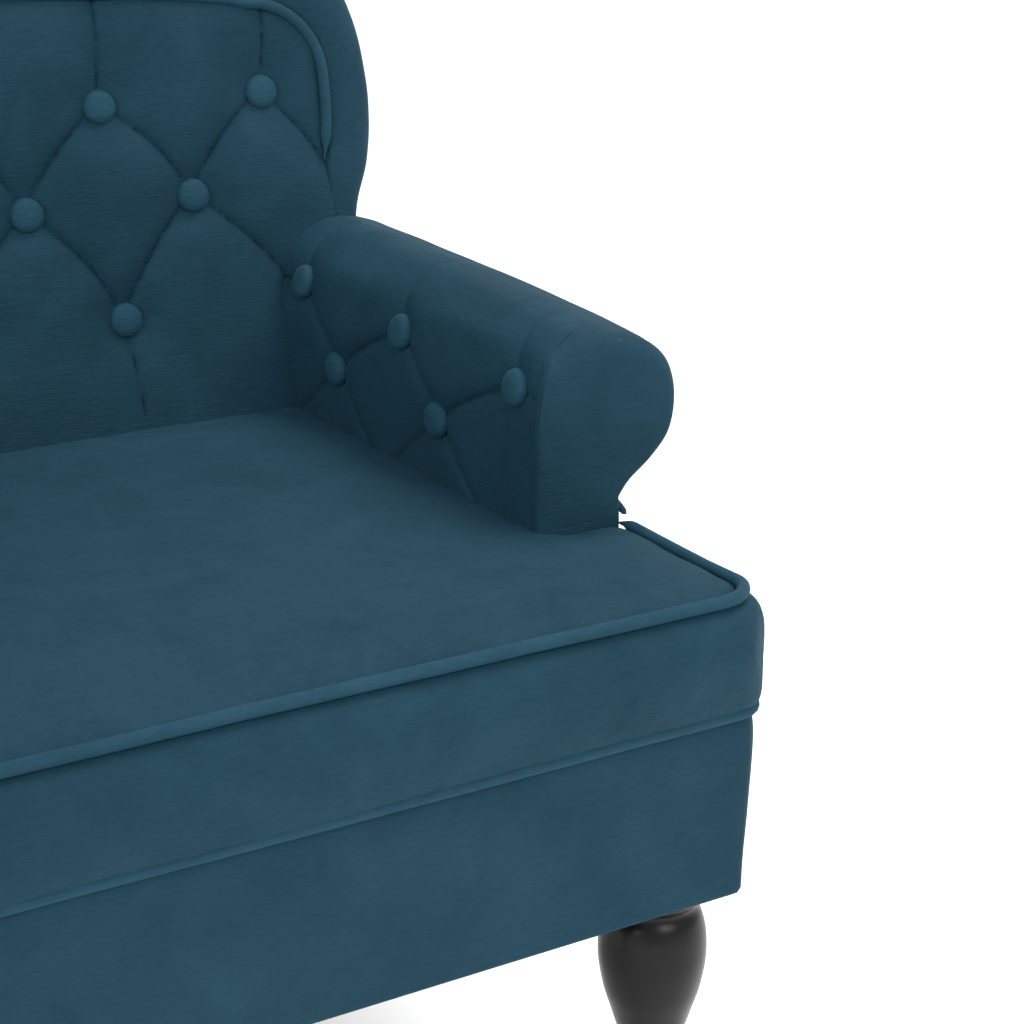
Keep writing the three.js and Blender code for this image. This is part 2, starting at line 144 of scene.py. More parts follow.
def filleted(corners: Sequence[tuple[float, float, float]], step: float) -> Array:
    """Makes a closed outline with rounded corners.

    Args:
        corners: x, y and corner radius, anticlockwise.
        step: the rough distance between points.

    Returns:
        Points on the outline, the first not repeated at the end.
    """
    path = []
    n = len(corners)
    for i, (x, y, r) in enumerate(corners):
        here = np.array([x, y])
        back = np.array(corners[i - 1][:2]) - here
        ahead = np.array(corners[(i + 1) % n][:2]) - here
        back /= np.linalg.norm(back)
        ahead /= np.linalg.norm(ahead)
        half = math.acos(float(np.clip(back @ ahead, -1, 1))) / 2
        reach = r / math.tan(half)
        centre = here + (back + ahead) / np.linalg.norm(back + ahead) * (r / math.sin(half))
        start, end = here + back * reach, here + ahead * reach
        a0 = math.atan2(*(start - centre)[::-1])
        a1 = math.atan2(*(end - centre)[::-1])
        turn = (a1 - a0 + math.pi) % (2 * math.pi) - math.pi
        for t in np.linspace(0, 1, 9):
            angle = a0 + turn * t
            path.append(centre + r * np.array([math.cos(angle), math.sin(angle)]))
    closed = np.vstack([path, path[:1]])
    length = np.linalg.norm(np.diff(closed, axis=0), axis=1).sum()
    return resample(closed, max(16, int(length / step)) + 1)[:-1]


def loop_normals(loop: Array) -> Array:
    """Outward unit normals of an anticlockwise closed outline.

    Args:
        loop: the outline's points.

    Returns:
        One normal for each point.
    """
    ahead = np.roll(loop, -1, axis=0) - np.roll(loop, 1, axis=0)
    normal = np.stack([ahead[:, 1], -ahead[:, 0]], axis=1)
    return normal / np.linalg.norm(normal, axis=1, keepdims=True)


def grid_normals(grid: Array) -> Array:
    """Unit normals of a grid of points, to the right-hand side of (first axis, second axis).

    Args:
        grid: the points, by row and column.

    Returns:
        One normal for each point.
    """
    across = np.gradient(grid, axis=0)
    along = np.gradient(grid, axis=1)
    normal = np.cross(across, along)
    return normal / (np.linalg.norm(normal, axis=2, keepdims=True) + 1e-12)


def refined(grid: Array, factor: int) -> Array:
    """Puts more points between the points of a grid, on smooth curves.

    Args:
        grid: the points, by row and column.
        factor: how many steps each step becomes.

    Returns:
        The finer grid.
    """
    def along_first(values: Array) -> Array:
        """Refines along the first axis.

        Args:
            values: the points.

        Returns:
            More of them.
        """
        padded = np.concatenate([2 * values[:1] - values[1:2], values, 2 * values[-1:] - values[-2:-1]])
        a, b, c, d = padded[:-3], padded[1:-2], padded[2:-1], padded[3:]
        rows = []
        for k in range(factor):
            t = k / factor
            rows.append(0.5 * (2 * b + (c - a) * t + (2 * a - 5 * b + 4 * c - d) * t**2
                               + (3 * b - a - 3 * c + d) * t**3))
        mixed = np.stack(rows, axis=1).reshape(-1, *values.shape[1:])
        return np.concatenate([mixed, values[-1:]])

    once = along_first(grid)
    return np.swapaxes(along_first(np.swapaxes(once, 0, 1)), 0, 1)


def softened(grid: Array, passes: int) -> Array:
    """Evens out a grid of moves, and leaves its border as it is.

    Args:
        grid: the moves, by row and column.
        passes: how many times each is mixed with its neighbours.

    Returns:
        The evened moves.
    """
    out = grid.copy()
    for _ in range(passes):
        inner = (out[:-2, 1:-1] + out[2:, 1:-1] + out[1:-1, :-2] + out[1:-1, 2:]) / 4
        out[1:-1, 1:-1] = 0.4 * out[1:-1, 1:-1] + 0.6 * inner
    return out


def segment_distance(points: Array, start: Array, end: Array) -> tuple[Array, Array]:
    """Distance of points from a straight segment.

    Args:
        points: any array whose last axis is a position.
        start: the segment's first end.
        end: the segment's other end.

    Returns:
        The distances, and how far along the segment the nearest place is, from 0 to 1.
    """
    line = end - start
    t = np.clip(((points - start) @ line) / max(float(line @ line), 1e-12), 0, 1)
    return np.linalg.norm(points - (start + t[..., None] * line), axis=-1), t


def path_distance(points: Array, path: Array) -> Array:
    """Distance of points from a polyline.

    Args:
        points: positions, one a row.
        path: the polyline's points.

    Returns:
        The distance of each position.
    """
    best = np.full(points.shape[:-1], 1e9)
    for start, end in zip(path[:-1], path[1:]):
        best = np.minimum(best, segment_distance(points, start, end)[0])
    return best


def ripple(points: Array, size: float, seed: float) -> Array:
    """Smooth noise from -1 to 1 over positions.

    Args:
        points: positions, one a row.
        size: the rough width of one swell, in metres.
        seed: moves the pattern.

    Returns:
        The noise at each position.
    """
    offset = Vector((seed, seed * 1.7, seed * 0.3))
    return np.array([noise.noise(Vector(p) / size + offset) for p in points.reshape(-1, 3)]).reshape(
        points.shape[:-1])


# ------------------------------------------------------------------ meshes
def new_piece(name: str, verts: Array, faces: Sequence[Sequence[int]], material: bpy.types.Material,
              outward: bool = True) -> bpy.types.Object:
    """Makes a smooth mesh object at the origin.

    Args:
        name: the object's name.
        verts: its points.
        faces: its faces, as lists of point numbers.
        material: its finish.
        outward: whether to turn all the faces outwards.

    Returns:
        The object.
    """
    mesh = bpy.data.meshes.new(name)
    mesh.from_pydata(np.asarray(verts, float).reshape(-1, 3).tolist(), [], [list(f) for f in faces])
    if outward:
        work = bmesh.new()
        work.from_mesh(mesh)
        bmesh.ops.remove_doubles(work, verts=work.verts, dist=1e-6)
        bmesh.ops.recalc_face_normals(work, faces=work.faces)
        work.to_mesh(mesh)
        work.free()
    mesh.shade_smooth()
    mesh.set_sharp_from_angle(angle=math.radians(55))
    mesh.materials.append(material)
    piece = bpy.data.objects.new(name, mesh)
    bpy.context.scene.collection.objects.link(piece)
    return piece


def grid_faces(rows: int, columns: int, start: int = 0, wrap: bool = False) -> list[tuple[int, ...]]:
    """Quads between the points of a grid.

    Args:
        rows: how many rows of points there are.
        columns: how many points are in a row.
        start: the number of the first point.
        wrap: whether the last row joins the first.

    Returns:
        The faces.
    """
    faces = []
    for i in range(rows if wrap else rows - 1):
        j = (i + 1) % rows
        for k in range(columns - 1):
            faces.append((start + i * columns + k, start + j * columns + k,
                          start + j * columns + k + 1, start + i * columns + k + 1))
    return faces


def closed_sheet(front: Array, back: Array) -> tuple[Array, list[tuple[int, ...]]]:
    """Joins two grids of the same shape round their edges into one closed form.

    Args:
        front: the side that is seen.
        back: the side behind it.

    Returns:
        The points and the faces.
    """
    rows, columns = front.shape[:2]
    size = rows * columns
    faces = grid_faces(rows, columns)
    faces += [tuple(reversed(f)) for f in grid_faces(rows, columns, start=size)]
    ring = [k for k in range(columns)]
    ring += [i * columns + columns - 1 for i in range(1, rows)]
    ring += [(rows - 1) * columns + k for k in range(columns - 2, -1, -1)]
    ring += [i * columns for i in range(rows - 2, 0, -1)]
    for a, b in zip(ring, ring[1:] + ring[:1]):
        faces.append((a, b, b + size, a + size))
    return np.vstack([front.reshape(-1, 3), back.reshape(-1, 3)]), faces


def looped_shell(rings: Array) -> list[tuple[int, ...]]:
    """Faces of a shell whose rings go all the way round and whose last ring meets the first.

    Args:
        rings: points by place in the ring, then by ring.

    Returns:
        The faces.
    """
    count, rows = rings.shape[:2]
    faces = []
    for i in range(count):
        j = (i + 1) % count
        for k in range(rows):
            m = (k + 1) % rows
            faces.append((i * rows + k, j * rows + k, j * rows + m, i * rows + m))
    return faces


def evaluated_points(piece: bpy.types.Object) -> Array:
    """The points of an object with its modifiers in force.

    Args:
        piece: the object.

    Returns:
        Its points, in rows.
    """
    graph = bpy.context.evaluated_depsgraph_get()
    mesh = piece.evaluated_get(graph).data
    points = np.empty(len(mesh.vertices) * 3)
    mesh.vertices.foreach_get("co", points)
    return points.reshape(-1, 3)


def set_points(piece: bpy.types.Object, points: Array) -> None:
    """Moves an object's points."""
    piece.data.vertices.foreach_set("co", np.asarray(points, float).ravel())
    piece.data.update()


def get_points(piece: bpy.types.Object) -> Array:
    """The points of an object's own mesh.

    Args:
        piece: the object.

    Returns:
        Its points, in rows.
    """
    points = np.empty(len(piece.data.vertices) * 3)
    piece.data.vertices.foreach_get("co", points)
    return points.reshape(-1, 3)


def baked(piece: bpy.types.Object) -> bpy.types.Object:
    """Turns an object's modifiers into plain mesh.

    Args:
        piece: the object, whose modifiers are removed.

    Returns:
        The same object.
    """
    graph = bpy.context.evaluated_depsgraph_get()
    mesh = bpy.data.meshes.new_from_object(piece.evaluated_get(graph))
    piece.modifiers.clear()
    old = piece.data
    piece.data = mesh
    bpy.data.meshes.remove(old)
    return piece


@dataclass(frozen=True)
class Filling:
    """How a padded form swells when its cloth is filled.

    Attributes:
        pressure: the push of the filling.
        limit: how far a point may end from where it began.
        frames: how long it settles.
        looseness: spare cloth, as a share of its width.
    """

    pressure: float = 4.0
    limit: float = 0.02
    frames: int = 18
    looseness: float = 0.02

    def swell(self, piece: bpy.types.Object, held: Array) -> Array:
        """Fills the form as cloth under pressure.

        Args:
            piece: a closed form.
            held: how firmly each point is held, from 0 to 1.

        Returns:
            The points after the filling settles.
        """
        start = get_points(piece)
        group = piece.vertex_groups.new(name="held")
        for level in np.unique(np.round(held, 1)):
            group.add(np.flatnonzero(np.round(held, 1) == level).tolist(), float(level), "REPLACE")
        cloth = piece.modifiers.new("filling", "CLOTH")
        cloth.settings.quality = 5
        cloth.settings.mass = 0.25
        cloth.settings.use_pressure = True
        cloth.settings.uniform_pressure_force = self.pressure
        cloth.settings.shrink_min = -self.looseness
        cloth.settings.vertex_group_mass = "held"
        cloth.settings.effector_weights.gravity = 0.0
        cloth.collision_settings.use_collision = False
        cloth.point_cache.frame_end = self.frames
        scene = bpy.context.scene
        for frame in range(1, self.frames + 1):
            scene.frame_set(frame)
        moved = evaluated_points(piece) - start
        piece.modifiers.clear()
        piece.vertex_groups.clear()
        scene.frame_set(1)
        far = np.linalg.norm(moved, axis=1, keepdims=True)
        return start + moved * (self.limit / (far + self.limit))


# ------------------------------------------------------------------ finishes
def linear(hex_colour: str) -> tuple[float, float, float, float]:
    """Turns an sRGB hex colour into linear light.

    Args:
        hex_colour: six hex digits, with or without a leading hash.

    Returns:
        Red, green, blue and alpha.
    """
    digits = hex_colour.lstrip("#")
    values = [int(digits[i:i + 2], 16) / 255 for i in (0, 2, 4)]
    r, g, b = [v / 12.92 if v <= 0.04045 else ((v + 0.055) / 1.055) ** 2.4 for v in values]
    return r, g, b, 1.0


def add_node(tree: bpy.types.NodeTree, kind: str, inputs: dict[Any, Any] | None = None,
             **settings: Any) -> bpy.types.Node:
    """Adds a node to a tree, with its settings and links.

    Args:
        tree: the node tree.
        kind: Blender's name for the node.
        inputs: for each input's name or number, a value or the output that feeds it.
        settings: the node's own properties.

    Returns:
        The node.
    """
    made = tree.nodes.new(kind)
    for key, value in settings.items():
        setattr(made, key, value)
    for key, value in (inputs or {}).items():
        if isinstance(value, bpy.types.NodeSocket):
            tree.links.new(value, made.inputs[key])
        else:
            made.inputs[key].default_value = value
    return made


def new_material(name: str) -> tuple[bpy.types.Material, bpy.types.NodeTree, bpy.types.Node]:
    """Starts a material with one surface shader.

    Args:
        name: the material's name.

    Returns:
        The material, its tree and the shader.
    """
    material = bpy.data.materials.new(name)
    material.use_nodes = True
    tree = material.node_tree
    tree.nodes.clear()
    shader = add_node(tree, "ShaderNodeBsdfPrincipled")
    add_node(tree, "ShaderNodeOutputMaterial", {"Surface": shader.outputs[0]})
    return material, tree, shader


def ramp(tree: bpy.types.NodeTree, factor: bpy.types.NodeSocket,
         stops: Sequence[tuple[float, tuple[float, float, float, float]]]) -> bpy.types.NodeSocket:
    """Spreads colours over a value.

    Args:
        tree: the node tree.
        factor: the value.
        stops: positions and colours.

    Returns:
        The colour output.
    """
    made = add_node(tree, "ShaderNodeValToRGB", {0: factor})
    elements = made.color_ramp.elements
    for element, (position, colour) in zip(elements, stops):
        element.position, element.color = position, colour
    for position, colour in stops[len(elements):]:
        elements.new(position).color = colour
    return made.outputs[0]


def stretched(tree: bpy.types.NodeTree, scale: tuple[float, float, float]) -> bpy.types.NodeSocket:
    """Object coordinates, scaled along each axis."""
    place = add_node(tree, "ShaderNodeTexCoord")
    return add_node(tree, "ShaderNodeMapping", {"Vector": place.outputs["Object"], "Scale": scale}).outputs[0]


@dataclass(frozen=True)
class Velvet:
    """Woven polyester velvet with a short dense pile.

    The pile lies in soft patches, so the colour drifts, and its tips catch light at a grazing angle.

    Attributes:
        name: the material's name.
        deep: the colour where the pile leans towards the eye.
        lit: the colour where it leans away.
        sheen: how much light the tips scatter.
    """

    name: str = "velvet_woven_polyester"
    deep: str = "#0c2a37"
    lit: str = "#143746"
    sheen: float = 0.12

    def build(self) -> bpy.types.Material:
        """Makes the material.

        Returns:
            The material.
        """
        material, tree, shader = new_material(self.name)
        even = stretched(tree, (1, 1, 1))
        patches = add_node(tree, "ShaderNodeTexNoise", {"Vector": even, "Scale": 14.0, "Detail": 5.0,
                                                        "Roughness": 0.6, "Distortion": 0.6})
        # Pile tufts are about 0.4 mm; drawn 1.1 mm apart and 4 times as long, so that they show.
        nap = add_node(tree, "ShaderNodeTexNoise", {"Vector": stretched(tree, (0.25, 0.25, 1.0)),
                                                    "Scale": 900.0, "Detail": 2.0, "Roughness": 0.7})
        # The weave under the pile pulls it into level crimps, about 2.5 mm apart and 10 mm long.
        brushed = add_node(tree, "ShaderNodeTexNoise", {"Vector": stretched(tree, (0.24, 0.24, 1.0)),
                                                        "Scale": 400.0, "Detail": 3.0, "Roughness": 0.55,
                                                        "Distortion": 0.35})
        fine = add_node(tree, "ShaderNodeMix", {0: 0.5, 2: nap.outputs[0], 3: brushed.outputs[0]})
        drift = add_node(tree, "ShaderNodeMix", {0: 0.42, 2: patches.outputs[0], 3: fine.outputs[0]})
        colour = ramp(tree, drift.outputs[0], [(0.3, linear(self.deep)), (0.7, linear(self.lit))])
        rough = add_node(tree, "ShaderNodeMapRange", {0: drift.outputs[0], 1: 0.3, 2: 0.7, 3: 0.9, 4: 0.72})
        grain = add_node(tree, "ShaderNodeBump", {"Strength": 0.35, "Distance": 0.0005,
                                                  "Height": nap.outputs[0]})
        swell = add_node(tree, "ShaderNodeBump", {"Strength": 0.6, "Distance": 0.0011,
                                                  "Height": brushed.outputs[0], "Normal": grain.outputs[0]})
        for socket, source in (("Base Color", colour), ("Roughness", rough.outputs[0]),
                               ("Normal", swell.outputs[0])):
            tree.links.new(source, shader.inputs[socket])
        shader.inputs["IOR"].default_value = 1.45
        shader.inputs["Specular IOR Level"].default_value = 0.18
        shader.inputs["Sheen Weight"].default_value = self.sheen
        shader.inputs["Sheen Roughness"].default_value = 0.45
        shader.inputs["Sheen Tint"].default_value = linear("#50849f")
        return material


@dataclass(frozen=True)
class Wood:
    """Turned or sawn wood, with the rings and fibres running one way.

    Attributes:
        name: the material's name.
        early: the colour between the rings.
        late: the colour of the rings.
        scale: how the pattern is squeezed along X, Y and Z.
        roughness: the lowest and highest roughness.
        coat: how much clear lacquer lies over it.
        depth: how deep the grain is, in metres.
    """

    name: str
    early: str
    late: str
    scale: tuple[float, float, float]
    roughness: tuple[float, float]
    coat: float = 0.0
    depth: float = 0.0003

    def build(self) -> bpy.types.Material:
        """Makes the material.

        Returns:
            The material.
        """
        material, tree, shader = new_material(self.name)
        place = stretched(tree, self.scale)
        rings = add_node(tree, "ShaderNodeTexNoise", {"Vector": place, "Scale": 60.0, "Detail": 6.0,
                                                      "Roughness": 0.6, "Distortion": 0.8})
        pores = add_node(tree, "ShaderNodeTexNoise", {"Vector": place, "Scale": 700.0, "Detail": 2.0})
        both = add_node(tree, "ShaderNodeMix", {0: 0.35, 2: rings.outputs[0], 3: pores.outputs[0]})
        colour = ramp(tree, both.outputs[0], [(0.35, linear(self.late)), (0.62, linear(self.early))])
        low, high = self.roughness
        rough = add_node(tree, "ShaderNodeMapRange", {0: both.outputs[0], 1: 0.3, 2: 0.7, 3: high, 4: low})
        bump = add_node(tree, "ShaderNodeBump", {"Strength": 0.5, "Distance": self.depth,
                                                 "Height": both.outputs[0]})
        for socket, source in (("Base Color", colour), ("Roughness", rough.outputs[0]),
                               ("Normal", bump.outputs[0])):
            tree.links.new(source, shader.inputs[socket])
        shader.inputs["Specular IOR Level"].default_value = 0.2
        shader.inputs["Coat Weight"].default_value = self.coat
        shader.inputs["Coat Roughness"].default_value = 0.22
        return material


@dataclass(frozen=True)
class Steel:
    """Drawn steel wire or rod, plated or tempered.

    Attributes:
        name: the material's name.
        bright: the colour of the clean metal.
        dull: the colour where the plating or oil has clouded.
    """

    name: str
    bright: str
    dull: str

    def build(self) -> bpy.types.Material:
        """Makes the material.

        Returns:
            The material.
        """
        material, tree, shader = new_material(self.name)
        cloud = add_node(tree, "ShaderNodeTexNoise", {"Vector": stretched(tree, (1, 1, 1)), "Scale": 260.0,
                                                      "Detail": 4.0})
        colour = ramp(tree, cloud.outputs[0], [(0.35, linear(self.dull)), (0.65, linear(self.bright))])
        rough = add_node(tree, "ShaderNodeMapRange", {0: cloud.outputs[0], 1: 0.3, 2: 0.7, 3: 0.5, 4: 0.3})
        tree.links.new(colour, shader.inputs["Base Color"])
        tree.links.new(rough.outputs[0], shader.inputs["Roughness"])
        shader.inputs["Metallic"].default_value = 1.0
        return material


@dataclass(frozen=True)
class DustCloth:
    """Black spun-bonded cloth, with the little pressed dots of its bonding."""

    name: str = "dust_cloth_spun_bonded"

    def build(self) -> bpy.types.Material:
        """Makes the material.

        Returns:
            The material.
        """
        material, tree, shader = new_material(self.name)
        place = stretched(tree, (1, 1, 1))
        # The bonding dots are 1 mm apart; drawn 4 mm apart, so that they show.
        dots = add_node(tree, "ShaderNodeTexVoronoi", {"Vector": place, "Scale": 250.0, "Randomness": 0.2})
        fibres = add_node(tree, "ShaderNodeTexNoise", {"Vector": place, "Scale": 500.0, "Detail": 4.0})
        both = add_node(tree, "ShaderNodeMix", {0: 0.5, 2: dots.outputs[0], 3: fibres.outputs[0]})
        colour = ramp(tree, both.outputs[0], [(0.2, linear("#0e0f10")), (0.7, linear("#26282a"))])
        bump = add_node(tree, "ShaderNodeBump", {"Strength": 0.6, "Distance": 0.0004,
                                                 "Height": both.outputs[0]})
        tree.links.new(colour, shader.inputs["Base Color"])
        tree.links.new(bump.outputs[0], shader.inputs["Normal"])
        shader.inputs["Roughness"].default_value = 0.92
        return material


class Finishes:
    """All the chair's materials, made once."""

    def __init__(self) -> None:
        """Builds each material."""
        self.velvet = Velvet().build()
        # The welts' velvet is a lighter copy of the plain velvet: a painted highlight for the light from
        # above that catches the cords.
        self.cord_velvet = Velvet("velvet_stretched_over_cord", "#11323f", "#1c4050", 0.16).build()
        # The buttons' velvet is a lighter copy too: a painted highlight for the sheen on their domes.
        self.button_velvet = Velvet("velvet_stretched_over_buttons", "#123342", "#1d4352", 0.18).build()
        self.lacquer = Wood("rubberwood_black_lacquer", "#080908", "#040504", (1.0, 1.0, 0.08),
                            (0.24, 0.36), 0.04, 0.00008).build()
        self.pine = Wood("pine_sawn", "#d7b483", "#a97c47", (0.06, 1.0, 1.0), (0.6, 0.8)).build()
        self.plywood = Wood("plywood_raw", "#c79f6c", "#8f6738", (0.3, 1.0, 0.08), (0.65, 0.85)).build()
        self.zinc = Steel("steel_zinc_plated", "#c9ccd0", "#93979c").build()
        self.spring = Steel("spring_steel_oil_tempered", "#5c5f63", "#2e2f31").build()
        self.dust_cloth = DustCloth().build()


# ------------------------------------------------------------------ trees of repeated things
def new_geometry_tree(name: str, sizes: dict[str, float]) -> tuple[bpy.types.NodeTree, bpy.types.Node]:
    """Starts a geometry tree with named sizes.

    Args:
        name: the tree's name.
        sizes: the sizes it takes, and their usual values.

    Returns:
        The tree and its input node.
    """
    tree = bpy.data.node_groups.new(name, "GeometryNodeTree")
    tree.interface.new_socket(name="Geometry", in_out="INPUT", socket_type="NodeSocketGeometry")
    for label, value in sizes.items():
        socket = tree.interface.new_socket(name=label, in_out="INPUT", socket_type="NodeSocketFloat")
        socket.default_value = value
    tree.interface.new_socket(name="Geometry", in_out="OUTPUT", socket_type="NodeSocketGeometry")
    return tree, add_node(tree, "NodeGroupInput")


def finish_tree(tree: bpy.types.NodeTree, geometry: bpy.types.NodeSocket,
                material: bpy.types.Material) -> None:
    """Ends a geometry tree with real geometry in its finish.

    Args:
        tree: the tree.
        geometry: what it has made.
        material: the finish.
    """
    real = add_node(tree, "GeometryNodeRealizeInstances", {0: geometry})
    smooth = add_node(tree, "GeometryNodeSetShadeSmooth", {0: real.outputs[0]})
    dressed = add_node(tree, "GeometryNodeSetMaterial", {0: smooth.outputs[0], "Material": material})
    add_node(tree, "NodeGroupOutput", {0: dressed.outputs[0]})


def grown(name: str, points: Array, edges: Sequence[tuple[int, int]], tree: bpy.types.NodeTree,
          sizes: dict[str, float], facing: Array | None = None) -> bpy.types.Object:
    """Runs a geometry tree on a few points, and keeps the plain mesh.

    Args:
        name: the piece's name.
        points: where the tree starts from.
        edges: which points are joined.
        tree: the tree.
        sizes: the sizes to give it.
        facing: for each point, the way a thing on it faces.

    Returns:
        The piece.
    """
    mesh = bpy.data.meshes.new(name)
    mesh.from_pydata(np.asarray(points, float).tolist(), list(edges), [])
    if facing is not None:
        store = mesh.attributes.new("facing", "FLOAT_VECTOR", "POINT")
        store.data.foreach_set("vector", np.asarray(facing, float).ravel())
    piece = bpy.data.objects.new(name, mesh)
    bpy.context.scene.collection.objects.link(piece)
    modifier = piece.modifiers.new("grown", "NODES")
    modifier.node_group = tree
    for item in tree.interface.items_tree:
        if item.in_out == "INPUT" and item.name in sizes:
            modifier[item.identifier] = sizes[item.name]
    return baked(piece)


@dataclass
class Welt:
    """A cord sewn into a seam under its own strip of velvet.

    Attributes:
        finish: the velvet.
        diameter: of the covered cord.
        waver: how far it strays from a true line.
        taper: the length over which each end thins out.
    """

    finish: bpy.types.Material
    diameter: float = 0.0086
    waver: float = 0.0012
    taper: float = 0.02
    tree: bpy.types.NodeTree = field(init=False)

    def __post_init__(self) -> None:
        """Builds the tree that draws a covered cord along a path."""
        self.tree, start = new_geometry_tree("covered_cord", {"Diameter": self.diameter,
                                                              "Waver": self.waver, "Step": 0.004,
                                                              "Taper": self.taper})
        tree = self.tree
        curve = add_node(tree, "GeometryNodeMeshToCurve", {0: start.outputs["Geometry"]})
        even = add_node(tree, "GeometryNodeResampleCurve", {"Curve": curve.outputs[0],
                                                            "Length": start.outputs["Step"]}, mode="LENGTH")
        place = add_node(tree, "GeometryNodeInputPosition")
        drift = add_node(tree, "ShaderNodeTexNoise",
                         {"Vector": place.outputs[0], "Scale": 11.0, "Detail": 2.0})
        centred = add_node(tree, "ShaderNodeVectorMath", {0: drift.outputs["Color"], 1: (0.5, 0.5, 0.5)},
                           operation="SUBTRACT")
        offset = add_node(tree, "ShaderNodeVectorMath", {0: centred.outputs[0],
                                                         "Scale": start.outputs["Waver"]}, operation="SCALE")
        moved = add_node(tree, "GeometryNodeSetPosition", {0: even.outputs[0], "Offset": offset.outputs[0]})
        radius = add_node(tree, "ShaderNodeMath",
                          {0: start.outputs["Diameter"], 1: 0.5}, operation="MULTIPLY")
        ring = add_node(tree, "GeometryNodeCurvePrimitiveCircle", {"Resolution": 14,
                                                                   "Radius": radius.outputs[0]})
        along = add_node(tree, "GeometryNodeSplineParameter")
        total = add_node(tree, "GeometryNodeSplineLength")
        left = add_node(tree, "ShaderNodeMath", {0: total.outputs[0], 1: along.outputs["Length"]},
                        operation="SUBTRACT")
        nearer = add_node(tree, "ShaderNodeMath", {0: along.outputs["Length"], 1: left.outputs[0]},
                          operation="MINIMUM")
        point = add_node(tree, "ShaderNodeMapRange", {0: nearer.outputs[0], 1: 0.0, 2: start.outputs["Taper"],
                                                      3: 0.12, 4: 1.0}, interpolation_type="SMOOTHERSTEP")
        tapered = add_node(tree, "GeometryNodeSetCurveRadius", {0: moved.outputs[0], 2: point.outputs[0]})
        tube = add_node(tree, "GeometryNodeCurveToMesh", {"Curve": tapered.outputs[0],
                                                          "Profile Curve": ring.outputs[0], "Fill Caps": True,
                                                          "Scale": point.outputs[0]})
        finish_tree(tree, tube.outputs[0], self.finish)

    def sew(self, name: str, path: Array) -> bpy.types.Object:
        """Lays the cord along a path.

        Args:
            name: the piece's name.
            path: the points it follows.

        Returns:
            The cord.
        """
        edges = [(i, i + 1) for i in range(len(path) - 1)]
        return grown(name, path, edges, self.tree, {"Diameter": self.diameter, "Waver": self.waver,
                                                    "Step": self.diameter / 2, "Taper": self.taper})


@dataclass
class Buttons:
    """Covered buttons: a metal shell with velvet drawn round it.

    Attributes:
        finish: the velvet on them.
        diameter: of a button.
        dome: how far its crown stands over its rim.
    """

    finish: bpy.types.Material
    diameter: float = 0.0258
    dome: float = 0.0062
    tree: bpy.types.NodeTree = field(init=False)
    shell: bpy.types.Object = field(init=False)

    def __post_init__(self) -> None:
        """Builds one button, and the tree that sets it on points."""
        self.shell = self._one_button()
        self.tree, start = new_geometry_tree("buttons_on_points", {"Size": 1.0, "Twist": 6.28})
        tree = self.tree
        button = add_node(tree, "GeometryNodeObjectInfo", {"Object": self.shell})
        facing = add_node(tree, "GeometryNodeInputNamedAttribute",
                          {"Name": "facing"}, data_type="FLOAT_VECTOR")
        turn = add_node(tree, "FunctionNodeAlignRotationToVector", {"Vector": facing.outputs[0]}, axis="Z")
        spin = add_node(tree, "FunctionNodeRandomValue", {3: start.outputs["Twist"], "Seed": 7},
                        data_type="FLOAT")
        axis = add_node(tree, "FunctionNodeAxisAngleToRotation",
                        {"Axis": (0, 0, 1), "Angle": spin.outputs[1]})
        turned = add_node(tree, "FunctionNodeRotateRotation", {0: turn.outputs[0], 1: axis.outputs[0]},
                          rotation_space="LOCAL")
        size = add_node(tree, "ShaderNodeCombineXYZ", {i: start.outputs["Size"] for i in range(3)})
        dots = add_node(tree, "GeometryNodeMeshToPoints", {0: start.outputs["Geometry"]})
        placed = add_node(tree, "GeometryNodeInstanceOnPoints", {
            "Points": dots.outputs[0], "Instance": button.outputs["Geometry"],
            "Rotation": turned.outputs[0], "Scale": size.outputs[0]})
        finish_tree(tree, placed.outputs[0], self.finish)

    def _one_button(self) -> bpy.types.Object:
        """Makes the button's closed form, facing up, with slight gathers in its rim.

        Returns:
            The button, at the origin.
        """
        r, dome = self.diameter / 2, self.dome
        profile = [(0.0, dome), (0.4, 0.95 * dome), (0.68, 0.82 * dome), (0.87, 0.58 * dome),
                   (0.97, 0.22 * dome), (1.0, -0.0008), (0.95, -0.003), (0.75, -0.0046), (0.0, -0.005)]
        curve = smooth_through([(a * r, z) for a, z in profile], 22)
        count = 40
        verts = [(0.0, 0.0, float(curve[0][1]))]
        for radius, z in curve[1:-1]:
            for i in range(count):
                angle = 2 * math.pi * i / count
                gather = 1 + 0.012 * math.sin(11 * angle) * (radius / r) ** 6
                verts.append((radius * gather * math.cos(angle), radius * gather * math.sin(angle), z))
        verts.append((0.0, 0.0, float(curve[-1][1])))
        rings = len(curve) - 2
        faces: list[tuple[int, ...]] = []
        for i in range(count):
            j = (i + 1) % count
            faces.append((0, 1 + i, 1 + j))
            faces.append((len(verts) - 1, 1 + (rings - 1) * count + j, 1 + (rings - 1) * count + i))
            for k in range(rings - 1):
                faces.append((1 + k * count + i, 1 + (k + 1) * count + i,
                              1 + (k + 1) * count + j, 1 + k * count + j))
        return new_piece("one_button", np.array(verts), faces, self.finish)

    def set_on(self, name: str, places: Array, facing: Array) -> bpy.types.Object:
        """Puts a button on each place.

        Args:
            name: the piece's name.
            places: where the rims lie.
            facing: the way each button faces.

        Returns:
            All of them as one piece.
        """
        return grown(name, places, [], self.tree, {"Size": 1.0, "Twist": 6.28}, facing)

    def put_away(self) -> None:
        """Removes the button that the others were copied from."""
        bpy.data.objects.remove(self.shell)


